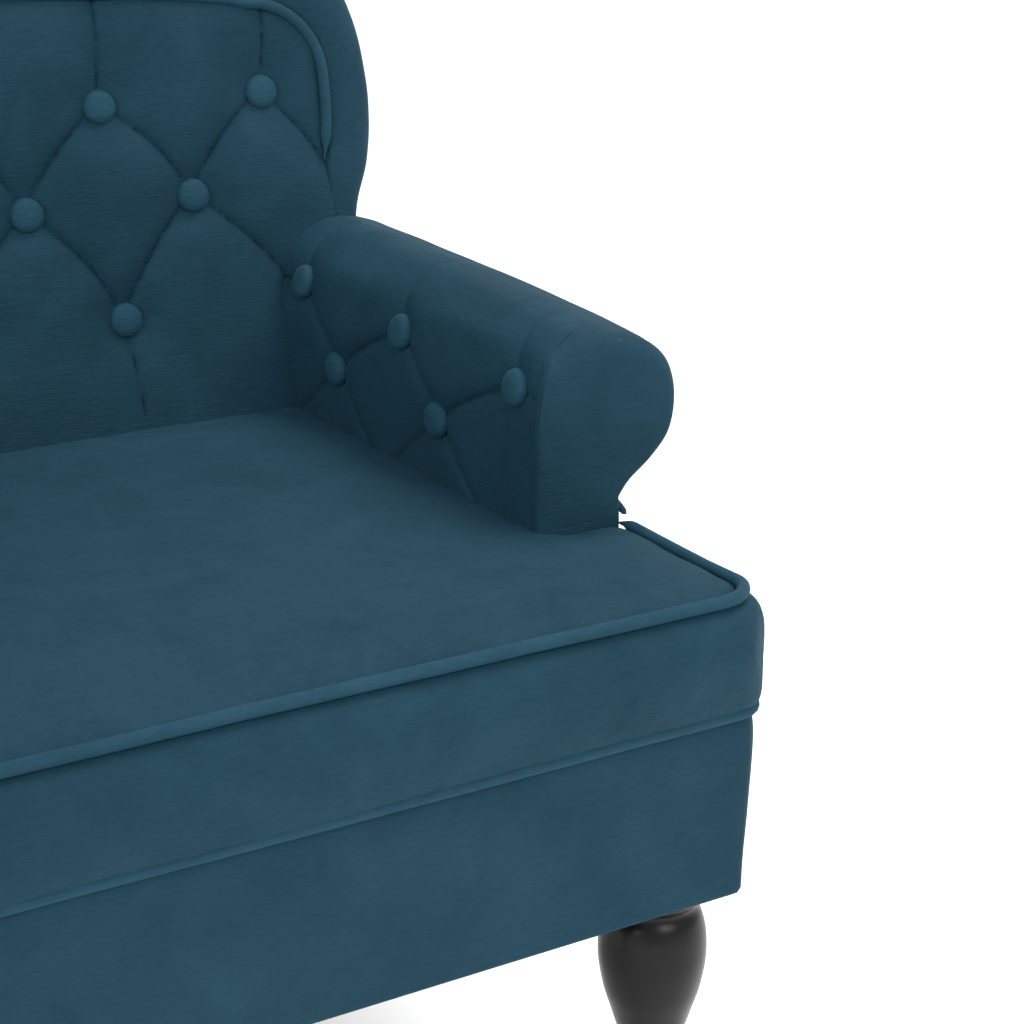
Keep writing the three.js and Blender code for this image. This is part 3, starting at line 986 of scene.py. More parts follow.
# ------------------------------------------------------------------ tufting
@dataclass
class Tufting:
    """Deep buttoning: the dents and pleats that buttons draw into a padded panel.

    Positions are in the panel's own two directions, in metres.

    Attributes:
        buttons: where the buttons are.
        pleats: the folds, each a few points, with how deep it is at its first and last point.
        dent: how deep a button sits.
        dent_radius: how wide its hollow is.
        crease: how deep a pleat is at its deepest.
        fullness: how far the padding swells between them.
    """

    buttons: Array
    pleats: list[tuple[Array, float, float]]
    dent: float = 0.009
    dent_radius: float = 0.021
    crease: float = 0.0064
    fullness: float = 0.0045

    def height(self, u: Array, v: Array) -> Array:
        """The panel's rise over its mean surface.

        Args:
            u: positions along the first direction.
            v: positions along the second.

        Returns:
            The rise at each position.
        """
        place = np.stack([u, v], axis=-1)
        nearest = np.full(u.shape, 1.0)
        fold = np.zeros(u.shape)
        valley = np.zeros(u.shape)
        for path, first, last in self.pleats:
            lengths = np.linalg.norm(np.diff(path, axis=0), axis=1)
            total, run = lengths.sum(), 0.0
            for start, end, length in zip(path[:-1], path[1:], lengths):
                away, t = segment_distance(place, start, end)
                share = (run + t * length) / total
                depth = first + (last - first) * share
                side = np.sign((place[..., 0] - start[0]) * (end - start)[1]
                               - (place[..., 1] - start[1]) * (end - start)[0])
                wave = np.sin(share * total / 0.0031 + 5 * total)
                uneven = 1 + 0.13 * wave * np.sin(share * total / 0.0083)
                deep = np.exp(-away / 0.0016) * uneven
                fold = np.maximum(fold, depth * deep * (1.0 + 0.2 * side))
                valley = np.maximum(valley, depth * np.exp(-(away / 0.0075) ** 2))
                nearest = np.minimum(nearest, away + 0.05 * (1 - depth))
                run += length
        swell = 1 - np.exp(-((nearest / 0.026) ** 1.3))
        hollow = np.zeros(u.shape)
        for button in self.buttons:
            away = np.linalg.norm(place - button, axis=-1)
            hollow = np.maximum(hollow, np.exp(-((away / self.dent_radius) ** 1.6)))
        return (self.fullness * swell * (1 - hollow) - self.dent * hollow
                - self.crease * (0.72 * fold + 0.28 * valley) * (1 - 0.7 * hollow))

    def held(self, u: Array, v: Array) -> Array:
        """How firmly the twine and the pleats hold the cloth, from 0 to 1.

        Args:
            u: positions along the first direction.
            v: positions along the second.

        Returns:
            The hold at each position.
        """
        place = np.stack([u, v], axis=-1)
        hold = np.zeros(u.shape)
        for path, first, last in self.pleats:
            away = path_distance(place, path)
            hold = np.maximum(hold, 0.9 * max(first, last) * np.exp(-((away / 0.007) ** 2)))
        for button in self.buttons:
            away = np.linalg.norm(place - button, axis=-1)
            hold = np.maximum(hold, (away < 0.014).astype(float))
        return hold


def arched(start: Sequence[float], end: Sequence[float], rise: Sequence[float] = (0.0, 0.0),
           count: int = 9) -> Array:
    """A line between two places that bows to one side.

    Args:
        start: where it begins.
        end: where it ends.
        rise: how far its middle is moved.
        count: how many points it has.

    Returns:
        Its points.
    """
    a, b, lift = (np.asarray(p, float) for p in (start, end, rise))
    t = np.linspace(0, 1, count)[:, None]
    return a + (b - a) * t + lift * 4 * t * (1 - t)


# ------------------------------------------------------------------ the chair's own lines
@dataclass(frozen=True)
class Lines:
    """The lines that the covers share, read from the frame's boxes.

    Attributes:
        base: the base cover's box.
        seat: the seat cover's box.
        arm: the right arm cover's box.
        panel: the tufted back cover's box.
        outside: the outside back cover's box.
    """

    base: tuple[Vector, Vector]
    seat: tuple[Vector, Vector]
    arm: tuple[Vector, Vector]
    panel: tuple[Vector, Vector]
    outside: tuple[Vector, Vector]

    @staticmethod
    def read() -> "Lines":
        """Reads them from the frame.

        Returns:
            The boxes.
        """
        names = ("base_cover", "seat_cover", "arm_cover_right", "back_tufted_cover", "outside_back_cover")
        return Lines(*[tuple(Vector(corner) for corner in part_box(name)) for name in names])

    def front_of_back(self, z: Array) -> Array:
        """The back's raked front plane: Y at each height.

        Args:
            z: the heights.

        Returns:
            Y at each.
        """
        low = self.panel[0]
        rake = math.tan(BACK_RAKE)
        return low.y + (np.asarray(z, float) - low.z) * rake

    def rear_of_back(self, z: Array) -> Array:
        """The back's rear plane: Y at each height.

        Args:
            z: the heights.

        Returns:
            Y at each.
        """
        low, high = self.outside
        rake = (high.y - 0.003 - low.y) / (high.z - low.z)
        return low.y + 0.003 + (np.asarray(z, float) - low.z) * rake


BACK_RAKE = math.radians(11)  # how far the back leans from upright

ARM_ROLL = ((0.3240, 0.446), (0.334, 0.4565), (0.3515, 0.470), (0.3655, 0.487), (0.3710, 0.514),
            (0.3665, 0.535), (0.351, 0.5490), (0.331, 0.557), (0.311, 0.5620), (0.290, 0.5595),
            (0.271, 0.544), (0.2625, 0.515))
BACK_SIDE = ((0.328, 0.540), (0.335, 0.574), (0.351, 0.608), (0.357, 0.648), (0.354, 0.694), (0.343, 0.732),
             (0.318, 0.766), (0.278, 0.785), (0.200, 0.793), (0.100, 0.798), (0.0, 0.800))


# ------------------------------------------------------------------ base and feet
@dataclass
class Base:
    """The cover drawn over the seat rails, turned in underneath, and the dust cloth.

    Attributes:
        finishes: the materials.
        lines: the shared lines.
        corner: radius of its corners in plan.
        batter: how far its top leans out.
    """

    finishes: Finishes
    lines: Lines
    corner: float = 0.009
    batter: float = 0.0055

    def cover(self) -> bpy.types.Object:
        """Builds the rails' cover.

        Returns:
            The cover.
        """
        low, high = self.lines.base
        r = self.corner
        outline = filleted([(low.x, low.y, r), (high.x, low.y, r), (high.x, high.y, r), (low.x, high.y, r)],
                           0.006)
        normal = loop_normals(outline)
        heights = np.linspace(high.z + 0.0015, low.z + 0.004, 26)
        rise = smoothstep(low.z, high.z, heights)
        rows = [(-0.016, high.z + 0.0015)]
        rows += [(self.batter * up - 0.0020 - 0.0022 * math.exp(-(high.z + 0.0015 - z) / 0.008), z)
                 for up, z in zip(rise, heights)]
        rows += [(-0.0028, low.z + 0.0016), (-0.005, low.z + 0.0002), (-0.010, low.z), (-0.016, low.z)]
        rings = np.zeros((len(outline), len(rows), 3))
        for k, (offset, z) in enumerate(rows):
            rings[:, k, :2] = outline + normal * offset
            rings[:, k, 2] = z
        face = rings[:, 1:-4]
        sway = 0.0011 * ripple(face, 0.11, 3.1) + 0.0004 * ripple(face, 0.035, 8.4)
        face[..., :2] += normal[:, None, :] * sway[..., None]
        piece = new_piece("base_upholstery", rings, looped_shell(rings), self.finishes.velvet)
        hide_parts("base_cover")
        return piece

    def dust_cloth(self) -> bpy.types.Object:
        """Builds the black cloth under the seat, sagging a little between its staples.

        Returns:
            The cloth.
        """
        low, high = (Vector(c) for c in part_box("dust_cover"))
        xs = np.linspace(low.x, high.x, 73)
        ys = np.linspace(low.y, high.y, 61)
        x, y = np.meshgrid(xs, ys, indexing="ij")
        edge = np.minimum(np.minimum(x - low.x, high.x - x), np.minimum(y - low.y, high.y - y))
        pull = 0.0005 * np.cos(x * 2 * math.pi / 0.05) * np.exp(-edge / 0.02)
        sag = 0.004 * smoothstep(0, 0.12, edge) + pull
        top = np.stack([x, y, high.z - 0.0002 - sag], axis=-1)
        verts, faces = closed_sheet(top, top - np.array([0, 0, 0.0009]))
        near_foot = []
        for name in ("front_left", "front_right", "rear_left", "rear_right"):
            a, b = (Vector(c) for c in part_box(f"foot_{name}"))
            near_foot.append(((a.x + b.x) / 2, (a.y + b.y) / 2))
        keep = [f for f in faces
                if all(max(abs(np.mean([verts[i][0] for i in f]) - fx),
                           abs(np.mean([verts[i][1] for i in f]) - fy)) > 0.036 for fx, fy in near_foot)]
        piece = new_piece("dust_cloth", verts, keep, self.finishes.dust_cloth)
        work = bmesh.new()
        work.from_mesh(piece.data)
        bmesh.ops.delete(work, geom=[v for v in work.verts if not v.link_faces], context="VERTS")
        bmesh.ops.holes_fill(work, edges=[e for e in work.edges if e.is_boundary], sides=0)
        bmesh.ops.recalc_face_normals(work, faces=work.faces)
        work.to_mesh(piece.data)
        work.free()
        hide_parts("dust_cover")
        return piece

    def staples(self) -> bpy.types.Object:
        """Sets a row of staples along each edge of the dust cloth.

        Returns:
            The staples, as one piece.
        """
        low, high = (Vector(c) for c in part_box("dust_cover"))
        z = low.z - 0.0006
        inset, reach = 0.006, 0.075
        runs = [((low.x + reach, low.y + inset), (high.x - reach, low.y + inset)),
                ((low.x + reach, high.y - inset), (high.x - reach, high.y - inset)),
                ((low.x + inset, low.y + reach), (low.x + inset, high.y - reach)),
                ((high.x - inset, low.y + reach), (high.x - inset, high.y - reach))]
        points = [(*end, z) for run in runs for end in run]
        edges = [(2 * i, 2 * i + 1) for i in range(len(runs))]
        tree, start = new_geometry_tree("staples_along_edges", {"Spacing": 0.03, "Crown": 0.011,
                                                                "Wire": 0.0011})
        curve = add_node(tree, "GeometryNodeMeshToCurve", {0: start.outputs["Geometry"]})
        dots = add_node(tree, "GeometryNodeCurveToPoints",
                        {"Curve": curve.outputs[0], "Length": start.outputs["Spacing"]}, mode="LENGTH")
        size = add_node(tree, "ShaderNodeCombineXYZ", {0: start.outputs["Wire"], 1: start.outputs["Wire"],
                                                       2: start.outputs["Crown"]})
        staple = add_node(tree, "GeometryNodeMeshCube", {"Size": size.outputs[0]})
        wander = add_node(tree, "FunctionNodeRandomValue", {2: -0.25, 3: 0.25, "Seed": 4}, data_type="FLOAT")
        axis = add_node(tree, "FunctionNodeAxisAngleToRotation", {"Axis": (0, 1, 0),
                                                                  "Angle": wander.outputs[1]})
        turned = add_node(tree, "FunctionNodeRotateRotation", {0: dots.outputs["Rotation"],
                                                               1: axis.outputs[0]}, rotation_space="LOCAL")
        placed = add_node(tree, "GeometryNodeInstanceOnPoints", {
            "Points": dots.outputs[0], "Instance": staple.outputs[0], "Rotation": turned.outputs[0]})
        finish_tree(tree, placed.outputs[0], self.finishes.zinc)
        return grown("dust_cloth_staples", np.array(points), edges, tree, {"Spacing": 0.03})


@dataclass
class Foot:
    """A turned foot: a full belly under a flared collar, a long taper, a ring and a small sole.

    Attributes:
        finishes: the materials.
        node: the foot's name in the frame.
        profile: radius and height as shares of the foot's own.
    """

    finishes: Finishes
    node: str
    profile: tuple[tuple[float, float], ...] = (
        (13.5, 0), (15.2, 1.2), (16, 5), (16, 12), (15, 24), (13.6, 33), (14.2, 35.5), (17.4, 38.5),
        (18.6, 43), (17.4, 47.5), (14.2, 50.5), (13.2, 53), (13.3, 62), (15.6, 82), (20.2, 106), (26.6, 128),
        (32.3, 147), (35.7, 168), (35.3, 186), (32.6, 198.5), (29.4, 205), (28.6, 208.3), (30.6, 211.6),
        (32.0, 214.8), (32.0, 219.6))

    def build(self) -> bpy.types.Object:
        """Turns the foot.

        Returns:
            The foot.
        """
        low, high = (Vector(c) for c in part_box(self.node))
        cx, cy = (low.x + high.x) / 2, (low.y + high.y) / 2
        curve = smooth_through([(r / 1000, z / 1000) for r, z in self.profile], 110)
        curve[-1] = (0.0318, high.z - 0.0001)
        count = 72
        verts = [(cx, cy, 0.0)]
        faces: list[tuple[int, ...]] = []
        for radius, z in curve:
            for i in range(count):
                angle = 2 * math.pi * i / count
                verts.append((cx + radius * math.cos(angle), cy + radius * math.sin(angle), max(0.0, z)))
        verts.append((cx, cy, float(curve[-1][1])))
        rows = len(curve)
        for i in range(count):
            j = (i + 1) % count
            faces.append((0, 1 + j, 1 + i))
            faces.append((len(verts) - 1, 1 + (rows - 1) * count + i, 1 + (rows - 1) * count + j))
            for k in range(rows - 1):
                faces.append((1 + k * count + i, 1 + k * count + j,
                              1 + (k + 1) * count + j, 1 + (k + 1) * count + i))
        piece = new_piece(f"turned_{self.node}", np.array(verts), faces, self.finishes.lacquer)
        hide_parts(self.node)
        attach(piece, self.node)
        return piece


# ------------------------------------------------------------------ seat
@dataclass
class Seat:
    """The T-shaped seat: a crowned top, a full band under it, and the two welts.

    Attributes:
        finishes: the materials.
        lines: the shared lines.
        welt: how the covered cords are made.
        side: half the width between the top seams.
        front: the top seam's Y.
        seam_top: the top seam's height.
        seam_low: the lower seam's height.
        bulge: how far the band swells, at even heights from its foot to its top seam.
        crown: how far the top swells.
    """

    finishes: Finishes
    lines: Lines
    welt: Welt
    side: float = 0.3265
    front: float = -0.3025
    seam_top: float = 0.4300
    seam_low: float = 0.3530
    bulge: tuple[float, ...] = (0.0, 0.0085, 0.0140, 0.0175, 0.0180, 0.0130, 0.0010)
    crown: float = 0.0085

    def outline(self, out: float = 0.0, corner: float = 0.030) -> Array:
        """The T in plan.

        Args:
            out: how far it lies outside the top seam in front and at the ears.
            corner: radius of its front corners.

        Returns:
            Its points, always as many.
        """
        rear = float(self.lines.front_of_back(self.seam_top)) + 0.012
        neck, shoulder = self.lines.arm[0].x + 0.012, self.lines.arm[0].y - 0.0065
        s, f = self.side + out, self.front - out
        loop = filleted([(-s, f, corner), (s, f, corner), (s, shoulder, 0.008), (neck, shoulder, 0.004),
                         (neck, rear, 0.004), (-neck, rear, 0.004), (-neck, shoulder, 0.004),
                         (-s, shoulder, 0.008)], 0.005)
        return resample(np.vstack([loop, loop[:1]]), 441)[:-1]

    def cushion(self) -> bpy.types.Object:
        """Builds the stuffed seat.

        Returns:
            The seat.
        """
        outline, foot = self.outline(), self.outline(0.0050, 0.018)
        count = len(outline)
        low = np.column_stack([foot, np.full(count, self.seam_low - 0.0015)])
        top = np.column_stack([outline, np.full(count, self.seam_top)])
        faces = [tuple(range(count - 1, -1, -1)), tuple(range(count, 2 * count))]
        faces += [(i, (i + 1) % count, count + (i + 1) % count, count + i) for i in range(count)]
        piece = new_piece("stuffed_seat", np.vstack([low, top]), faces, self.finishes.velvet)
        remesh = piece.modifiers.new("even", "REMESH")
        remesh.mode = "VOXEL"
        remesh.voxel_size = 0.0062
        baked(piece)
        points = get_points(piece)
        up = np.clip((points[:, 2] - self.seam_low) / (self.seam_top - self.seam_low), 0, 1)
        edge = path_distance(points[:, :2], np.vstack([outline, outline[:1]])) * up
        edge += path_distance(points[:, :2], np.vstack([foot, foot[:1]])) * (1 - up)
        nearest = np.array([np.argmin(((outline - p) ** 2).sum(axis=1)) for p in points[:, :2]])
        out = loop_normals(outline)[nearest]
        free = (points[:, 1] < self.lines.arm[0].y + 0.004).astype(float)
        on_band = np.exp(-((edge / 0.007) ** 2)) * free
        lean = np.interp(up, np.linspace(0, 1, len(self.bulge)), self.bulge)
        points[:, :2] += out * (on_band * lean)[:, None]
        points[:, 2] += (self.crown * smoothstep(-0.02, 0.11, edge) - 0.0008) * (up > 0.9)
        points[:, 2] += self.arch(points[:, 0]) * up
        set_points(piece, points)
        held = np.where((up > 0.93) & (edge < 0.006), 1.0, 0.0)
        held = np.maximum(held, (up < 0.06).astype(float))
        held = np.maximum(held, ((free == 0) & (edge < 0.01)).astype(float))
        points = Filling(pressure=3.5, limit=0.006, frames=16, looseness=0.015).swell(piece, held)
        set_points(piece, points)
        finer = piece.modifiers.new("finer", "SUBSURF")
        finer.levels = finer.render_levels = 1
        baked(piece)
        points = get_points(piece)
        seam = self.top_path(0.0)
        near = path_distance(points, seam)
        points[:, 2] -= 0.0022 * np.exp(-((near / 0.008) ** 2))
        tug = 0.0007 * ripple(points, 0.045, 2.2) + 0.0012 * ripple(points, 0.13, 5.5)
        top_part = smoothstep(self.seam_top - 0.004, self.seam_top + 0.002, points[:, 2])
        points[:, 2] += tug * top_part
        points[:, 1] += tug * (1 - top_part) * (points[:, 1] < self.front + 0.02)
        set_points(piece, points)
        piece.data.shade_smooth()
        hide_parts("seat_cover", "seat_foam")
        return piece

    def _round(self, side: float, front: float, rear: float, radius: float, z: float) -> Array:
        """A path from the left rear, round the front, to the right rear.

        Args:
            side: half the width.
            front: Y of the front.
            rear: Y of both ends.
            radius: of the front corners.
            z: the height.

        Returns:
            Its points.
        """
        turn = np.linspace(-math.pi / 2, 0, 13)
        corner = [(side - radius + radius * math.cos(a), front + radius + radius * math.sin(a)) for a in turn]
        right = np.array([*corner, *[(side, front + radius + (rear - front - radius) * t)
                                     for t in (0.25, 0.5, 0.75, 1.0)]])
        left = right[::-1] * np.array([-1, 1])
        across = np.array([(x, front) for x in np.linspace(-side + radius, side - radius, 26)[1:-1]])
        plan = np.vstack([left, across, right])
        return np.column_stack([plan, np.full(len(plan), z)])

    def arch(self, x: Array) -> Array:
        """How far the top seam rises over its corners, at each X."""
        return 0.0018 * (1 - smoothstep(0.04, 0.33, np.abs(x)))

    def top_path(self, proud: float) -> Array:
        """The top seam's path, moved outwards by a distance.

        Args:
            proud: the distance.

        Returns:
            Its points.
        """
        rear = self.lines.arm[0].y - 0.008
        path = self._round(self.side + proud, self.front - proud, rear, 0.030 + proud, self.seam_top)
        path[:, 2] += self.arch(path[:, 0])
        return path

    def welts(self) -> list[bpy.types.Object]:
        """Sews the two welts.

        Returns:
            The upper and the lower welt.
        """
        top = self.top_path(0.0014)
        aside = smoothstep(self.front + 0.012, self.front + 0.045, top[:, 1])
        top[:, 2] -= 0.0020 * aside
        hook = np.array([[self.side - 0.003, self.lines.arm[0].y + 0.001, self.seam_top - 0.0025]])
        ends = np.vstack([hook * np.array([-1, 1, 1]), top, hook])
        upper = self.welt.sew("seat_upper_welt", smooth_through(ends, 420))
        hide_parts("seat_top_welt")
        base_low, base_high = self.lines.base
        reach, turn = base_high.x + 0.0035, 0.020
        low = self._round(reach, base_low.y - 0.0055, base_high.y + 0.002 - turn, turn,
                          self.seam_low + 0.0005)
        bend = [(reach - turn + turn * math.cos(a), base_high.y + 0.002 - turn + turn * math.sin(a))
                for a in np.linspace(0, math.pi / 2, 7)[1:]]
        rear = [*bend, *[(x, base_high.y + 0.002) for x in np.linspace(reach - turn, 0.0, 10)[1:]]]
        rear = np.column_stack([np.array(rear), np.full(len(rear), self.seam_low + 0.0005)])
        mirrored = rear[::-1] * np.array([-1, 1, 1])
        whole = Welt(self.welt.finish, taper=0.0015)
        lower = whole.sew("seat_low_welt", smooth_through(np.vstack([mirrored, low, rear]), 900))
        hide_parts("seat_lower_welt")
        return [upper, lower]


# ------------------------------------------------------------------ back
@dataclass
class Back:
    """The raked back: a buttoned panel, its welt, a padded border round it and a plain rear.

    Attributes:
        finishes: the materials.
        lines: the shared lines.
        welt: how the covered cord is made.
        half: half the panel's width at its widest.
        shoulder: radius of the panel's upper corners.
    """

    finishes: Finishes
    lines: Lines
    welt: Welt
    half: float = 0.3085
    shoulder: float = 0.056

    def button_places(self) -> Array:
        """Each button's X and Z, from the frame.

        Returns:
            The places, in rows from the lowest.
        """
        places = []
        for i in range(1, 13):
            low, high = (Vector(c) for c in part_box(f"back_button_{i:02d}"))
            places.append(((low.x + high.x) / 2, (low.z + high.z) / 2))
        return np.array(places)

    def top_edge(self, x: Array) -> Array:
        """The panel's upper edge: Z at each X.

        Args:
            x: places across the back.

        Returns:
            Z at each.
        """
        x = np.abs(np.asarray(x, float))
        peak = self.lines.panel[1].z + 0.0005
        arch = peak - 0.016 * (x / (self.half - self.shoulder)) ** 2.4
        start = self.half - self.shoulder
        corner = 0.674 + np.sqrt(np.maximum(self.shoulder**2 - np.maximum(x - start, 0) ** 2, 0))
        return np.where(x < start, arch, corner)

    def tufting(self) -> Tufting:
        """The dents and pleats of the panel, in X and Z.

        Returns:
            The tufting.
        """
        places = self.button_places()
        rows = [places[:5], places[5:9], places[9:]]
        pleats = []
        for upper, lower in ((rows[0], rows[1]), (rows[1], rows[2])):
            for a in upper:
                for b in lower:
                    if abs(a[0] - b[0]) < 0.08:
                        bow = (0.006 * np.sign(b[0] - a[0]), 0.005)
                        pleats.append((arched(a, b, bow), 1.0, 0.9))
        for a in rows[0]:
            top = float(self.top_edge(np.array([a[0] * 1.02]))[0])
            pleats.append((arched(a, (a[0] * 1.02, top)), 0.95, 0.5))
        for a in rows[2]:
            pleats.append((arched(a, (a[0] * 1.04, 0.42)), 0.9, 0.35))
        for sign in (-1, 1):
            pleats.append((arched((sign * 0.195, rows[1][0][1]), (sign * 0.266, 0.525), (0.0, 0.006)),
                           0.9, 0.7))
            pleats.append((arched((sign * 0.26, rows[0][0][1]), (sign * 0.306, 0.607), (0.0, 0.004)),
                           0.9, 0.6))
        return Tufting(places, pleats)

    def _panel_grid(self, columns: int, rows: int) -> Array:
        """The flat panel's points: X and Z by column and row.

        Args:
            columns: how many points across.
            rows: how many points up.

        Returns:
            The points.
        """
        s = np.linspace(-1, 1, columns)
        spread = 0.6 * s + 0.4 * np.sin(s * math.pi / 2)
        t = np.linspace(0, 1, rows)
        bottom = 0.398
        grid = np.zeros((columns, rows, 2))
        for i, place in enumerate(spread):
            top = float(self.top_edge(np.array([place * self.half * 0.9995]))[0])
            z = bottom + (top - bottom) * t
            width = 0.306 + (self.half - 0.306) * smoothstep(0.60, 0.65, z)
            grid[i, :, 0] = place * width
            grid[i, :, 1] = z
        return grid

    def panel(self) -> bpy.types.Object:
        """Builds the buttoned panel.

        Returns:
            The panel.
        """
        tufting = self.tufting()
        flat = self._panel_grid(129, 73)
        x, z = flat[..., 0], flat[..., 1]
        front = np.stack([x, self.lines.front_of_back(z), z], axis=-1)
        normal = np.array([0.0, -math.cos(BACK_RAKE), math.sin(BACK_RAKE)])
        loose = front + normal * (0.6 * tufting.height(x, z))[..., None]
        behind = front - normal * 0.03
        verts, faces = closed_sheet(loose, behind)
        draft = new_piece("panel_draft", verts, faces, self.finishes.velvet, outward=False)
        size = loose[..., 0].size
        held = np.ones(2 * size)
        held[:size] = tufting.held(x, z).ravel()
        border = np.zeros(x.shape, bool)
        border[0], border[-1], border[:, 0], border[:, -1] = True, True, True, True
        held[:size][border.ravel()] = 1.0
        filled = Filling(pressure=4.0, limit=0.006, frames=14, looseness=0.004).swell(draft, held)
        bpy.data.objects.remove(draft)
        swollen = softened(filled[:size].reshape(loose.shape) - loose, 6)
        fine = refined(flat, 3)
        x, z = fine[..., 0], fine[..., 1]
        front = np.stack([x, self.lines.front_of_back(z), z], axis=-1)
        rise = tufting.height(x, z)
        edge = np.minimum(self.top_edge(x) - z, self.half - np.abs(x))
        rise = rise - 0.005 * np.exp(-np.maximum(edge, 0) / 0.006) * smoothstep(0.56, 0.60, z)
        rise += 0.0006 * ripple(front, 0.05, 1.3)
        surface = front + normal * rise[..., None] + refined(swollen, 3)
        verts, faces = closed_sheet(surface, front - normal * 0.02)
        piece = new_piece("buttoned_back_panel", verts, faces, self.finishes.velvet)
        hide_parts("back_tufted_cover", "back_foam")
        return piece

    def buttons(self, buttons: Buttons) -> bpy.types.Object:
        """Sets the back's buttons in their dents.

        Args:
            buttons: sets them.

        Returns:
            The buttons, as one piece.
        """
        places = self.button_places()
        tufting = self.tufting()
        normal = np.array([0.0, -math.cos(BACK_RAKE), math.sin(BACK_RAKE)])
        x, z = places[:, 0], places[:, 1]
        on_plane = np.stack([x, self.lines.front_of_back(z), z], axis=-1)
        rim = on_plane + normal * (tufting.height(x, z)[:, None] + 0.0045)
        piece = buttons.set_on("back_buttons", rim, np.repeat(normal[None], len(x), axis=0))
        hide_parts(*[f"back_button_{i:02d}" for i in range(1, 13)])
        return piece

    def welt_path(self) -> Array:
        """The welt's path over the panel's shoulders and top.

        Returns:
            Its points.
        """
        turn = np.linspace(0, math.pi / 2, 12)
        start = self.half - self.shoulder
        corner = [(start + self.shoulder * math.cos(a), 0.674 + self.shoulder * math.sin(a)) for a in turn]
        right = [(self.half - 0.0058, 0.612), (self.half - 0.0030, 0.628), (self.half - 0.0004, 0.650),
                 *corner]
        across = [(x, float(self.top_edge(np.array([x]))[0])) for x in np.linspace(start, -start, 30)[1:-1]]
        left = [(-x, z) for x, z in reversed(right)]
        plan = np.array([*right, *across, *left])
        return np.column_stack([plan[:, 0], self.lines.front_of_back(plan[:, 1]) - 0.0025, plan[:, 1]])

    def sewn_welt(self) -> bpy.types.Object:
        """Sews the back's welt.

        Returns:
            The welt.
        """
        piece = self.welt.sew("back_panel_welt", smooth_through(self.welt_path(), 380))
        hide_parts("back_welt")
        return piece

    def _edges(self, count: int) -> tuple[Array, Array]:
        """The border's inner and outer edges, from the right foot over the top to the left foot.

        Args:
            count: how many points each has.

        Returns:
            The inner and the outer edge, in X and Z.
        """
        inner_bottom = [(0.300, 0.350), (0.300, 0.52), (0.301, 0.56), (0.303, 0.60),
                        (self.half, 0.645), (self.half, 0.674)]
        turn = np.linspace(0, math.pi / 2, 9)
        start = self.half - self.shoulder
        inner_corner = [(start + self.shoulder * math.cos(a), 0.674 + self.shoulder * math.sin(a))
                        for a in turn]
        inner_top = [(x, float(self.top_edge(np.array([x]))[0])) for x in np.linspace(start, 0, 12)]
        side = smooth_through(BACK_SIDE, 200)
        outer_bottom = np.vstack([[(0.328, 0.350)], side[side[:, 1] < 0.676][:, :2]])
        outer_corner = side[(side[:, 1] >= 0.676) & (side[:, 0] > 0.272)]
        outer_top = side[side[:, 0] <= 0.274]
        shares = (int(count * 0.4), int(count * 0.2), count - int(count * 0.4) - int(count * 0.2))
        inner, outer = [], []
        for a, b, n in zip((inner_bottom, inner_corner, inner_top), (outer_bottom, outer_corner, outer_top),
                           shares):
            inner.append(resample(np.array(a), n + 1)[:-1])
            outer.append(resample(np.array(b), n + 1)[:-1])
        inner.append(np.array([inner_top[-1]]))
        outer.append(np.array([[0.0, BACK_SIDE[-1][1]]]))
        half_in, half_out = np.vstack(inner), np.vstack(outer)
        flip = np.array([-1, 1])
        return np.vstack([half_in, half_in[-2::-1] * flip]), np.vstack([half_out, half_out[-2::-1] * flip])

    def border(self) -> bpy.types.Object:
        """Builds the padded border, round over its edge and back to the rear seam.

        Returns:
            The border.
        """
        inner, outer = self._edges(150)
        turns = np.linspace(0, math.pi / 2, 22)
        rows = []
        for a in turns:
            share = math.sin(a) ** 0.9
            depth = 1 - math.cos(a) ** 0.85
            swell = math.sin(2 * a) ** 0.8 * 0.0065 if 0 < a < math.pi / 2 - 0.01 else 0.0
            swell -= 0.0022 * math.exp(-((a - 1.17) / 0.055) ** 2)
            plan = inner + (outer - inner) * share
            y = self.lines.front_of_back(inner[:, 1] * (1 - share) + plan[:, 1] * share) - 0.001
            rows.append(np.column_stack([plan[:, 0], y + 0.034 * depth - swell, plan[:, 1]]))
        rim_y = rows[-1][:, 1]
        rear_y = self.lines.rear_of_back(outer[:, 1])
        for t in (0.25, 0.5, 0.75, 0.93, 1.0):
            push = 0.0022 * math.sin(math.pi * min(t, 1.0)) - 0.003 * max(0.0, (t - 0.9) / 0.1)
            out = self._outward(outer)
            y = rim_y + (rear_y - 0.0015 - rim_y) * t
            rows.append(np.column_stack([outer[:, 0] + out[:, 0] * push, y, outer[:, 1] + out[:, 1] * push]))
        behind = self.lines.rear_of_back(inner[:, 1]) - 0.0015
        rows.append(np.column_stack([inner[:, 0], behind, inner[:, 1]]))
        grid = np.stack(rows, axis=1)
        sway = 0.0010 * ripple(grid, 0.07, 6.6) + 0.0005 * ripple(grid, 0.025, 4.6)
        sway[:, 0] = 0
        sway[:, -2:] = 0
        grid = grid - grid_normals(grid) * sway[..., None]
        count, rows_n = grid.shape[:2]
        faces = [(i * rows_n + k, (i + 1) * rows_n + k, (i + 1) * rows_n + (k + 1) % rows_n,
                  i * rows_n + (k + 1) % rows_n) for i in range(count - 1) for k in range(rows_n)]
        faces += [tuple(range(rows_n)), tuple((count - 1) * rows_n + k for k in reversed(range(rows_n)))]
        piece = new_piece("padded_back_border", grid, faces, self.finishes.velvet)
        finer = piece.modifiers.new("finer", "SUBSURF")
        finer.levels = finer.render_levels = 1
        baked(piece)
        piece.data.shade_smooth()
        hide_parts("back_border")
        return piece

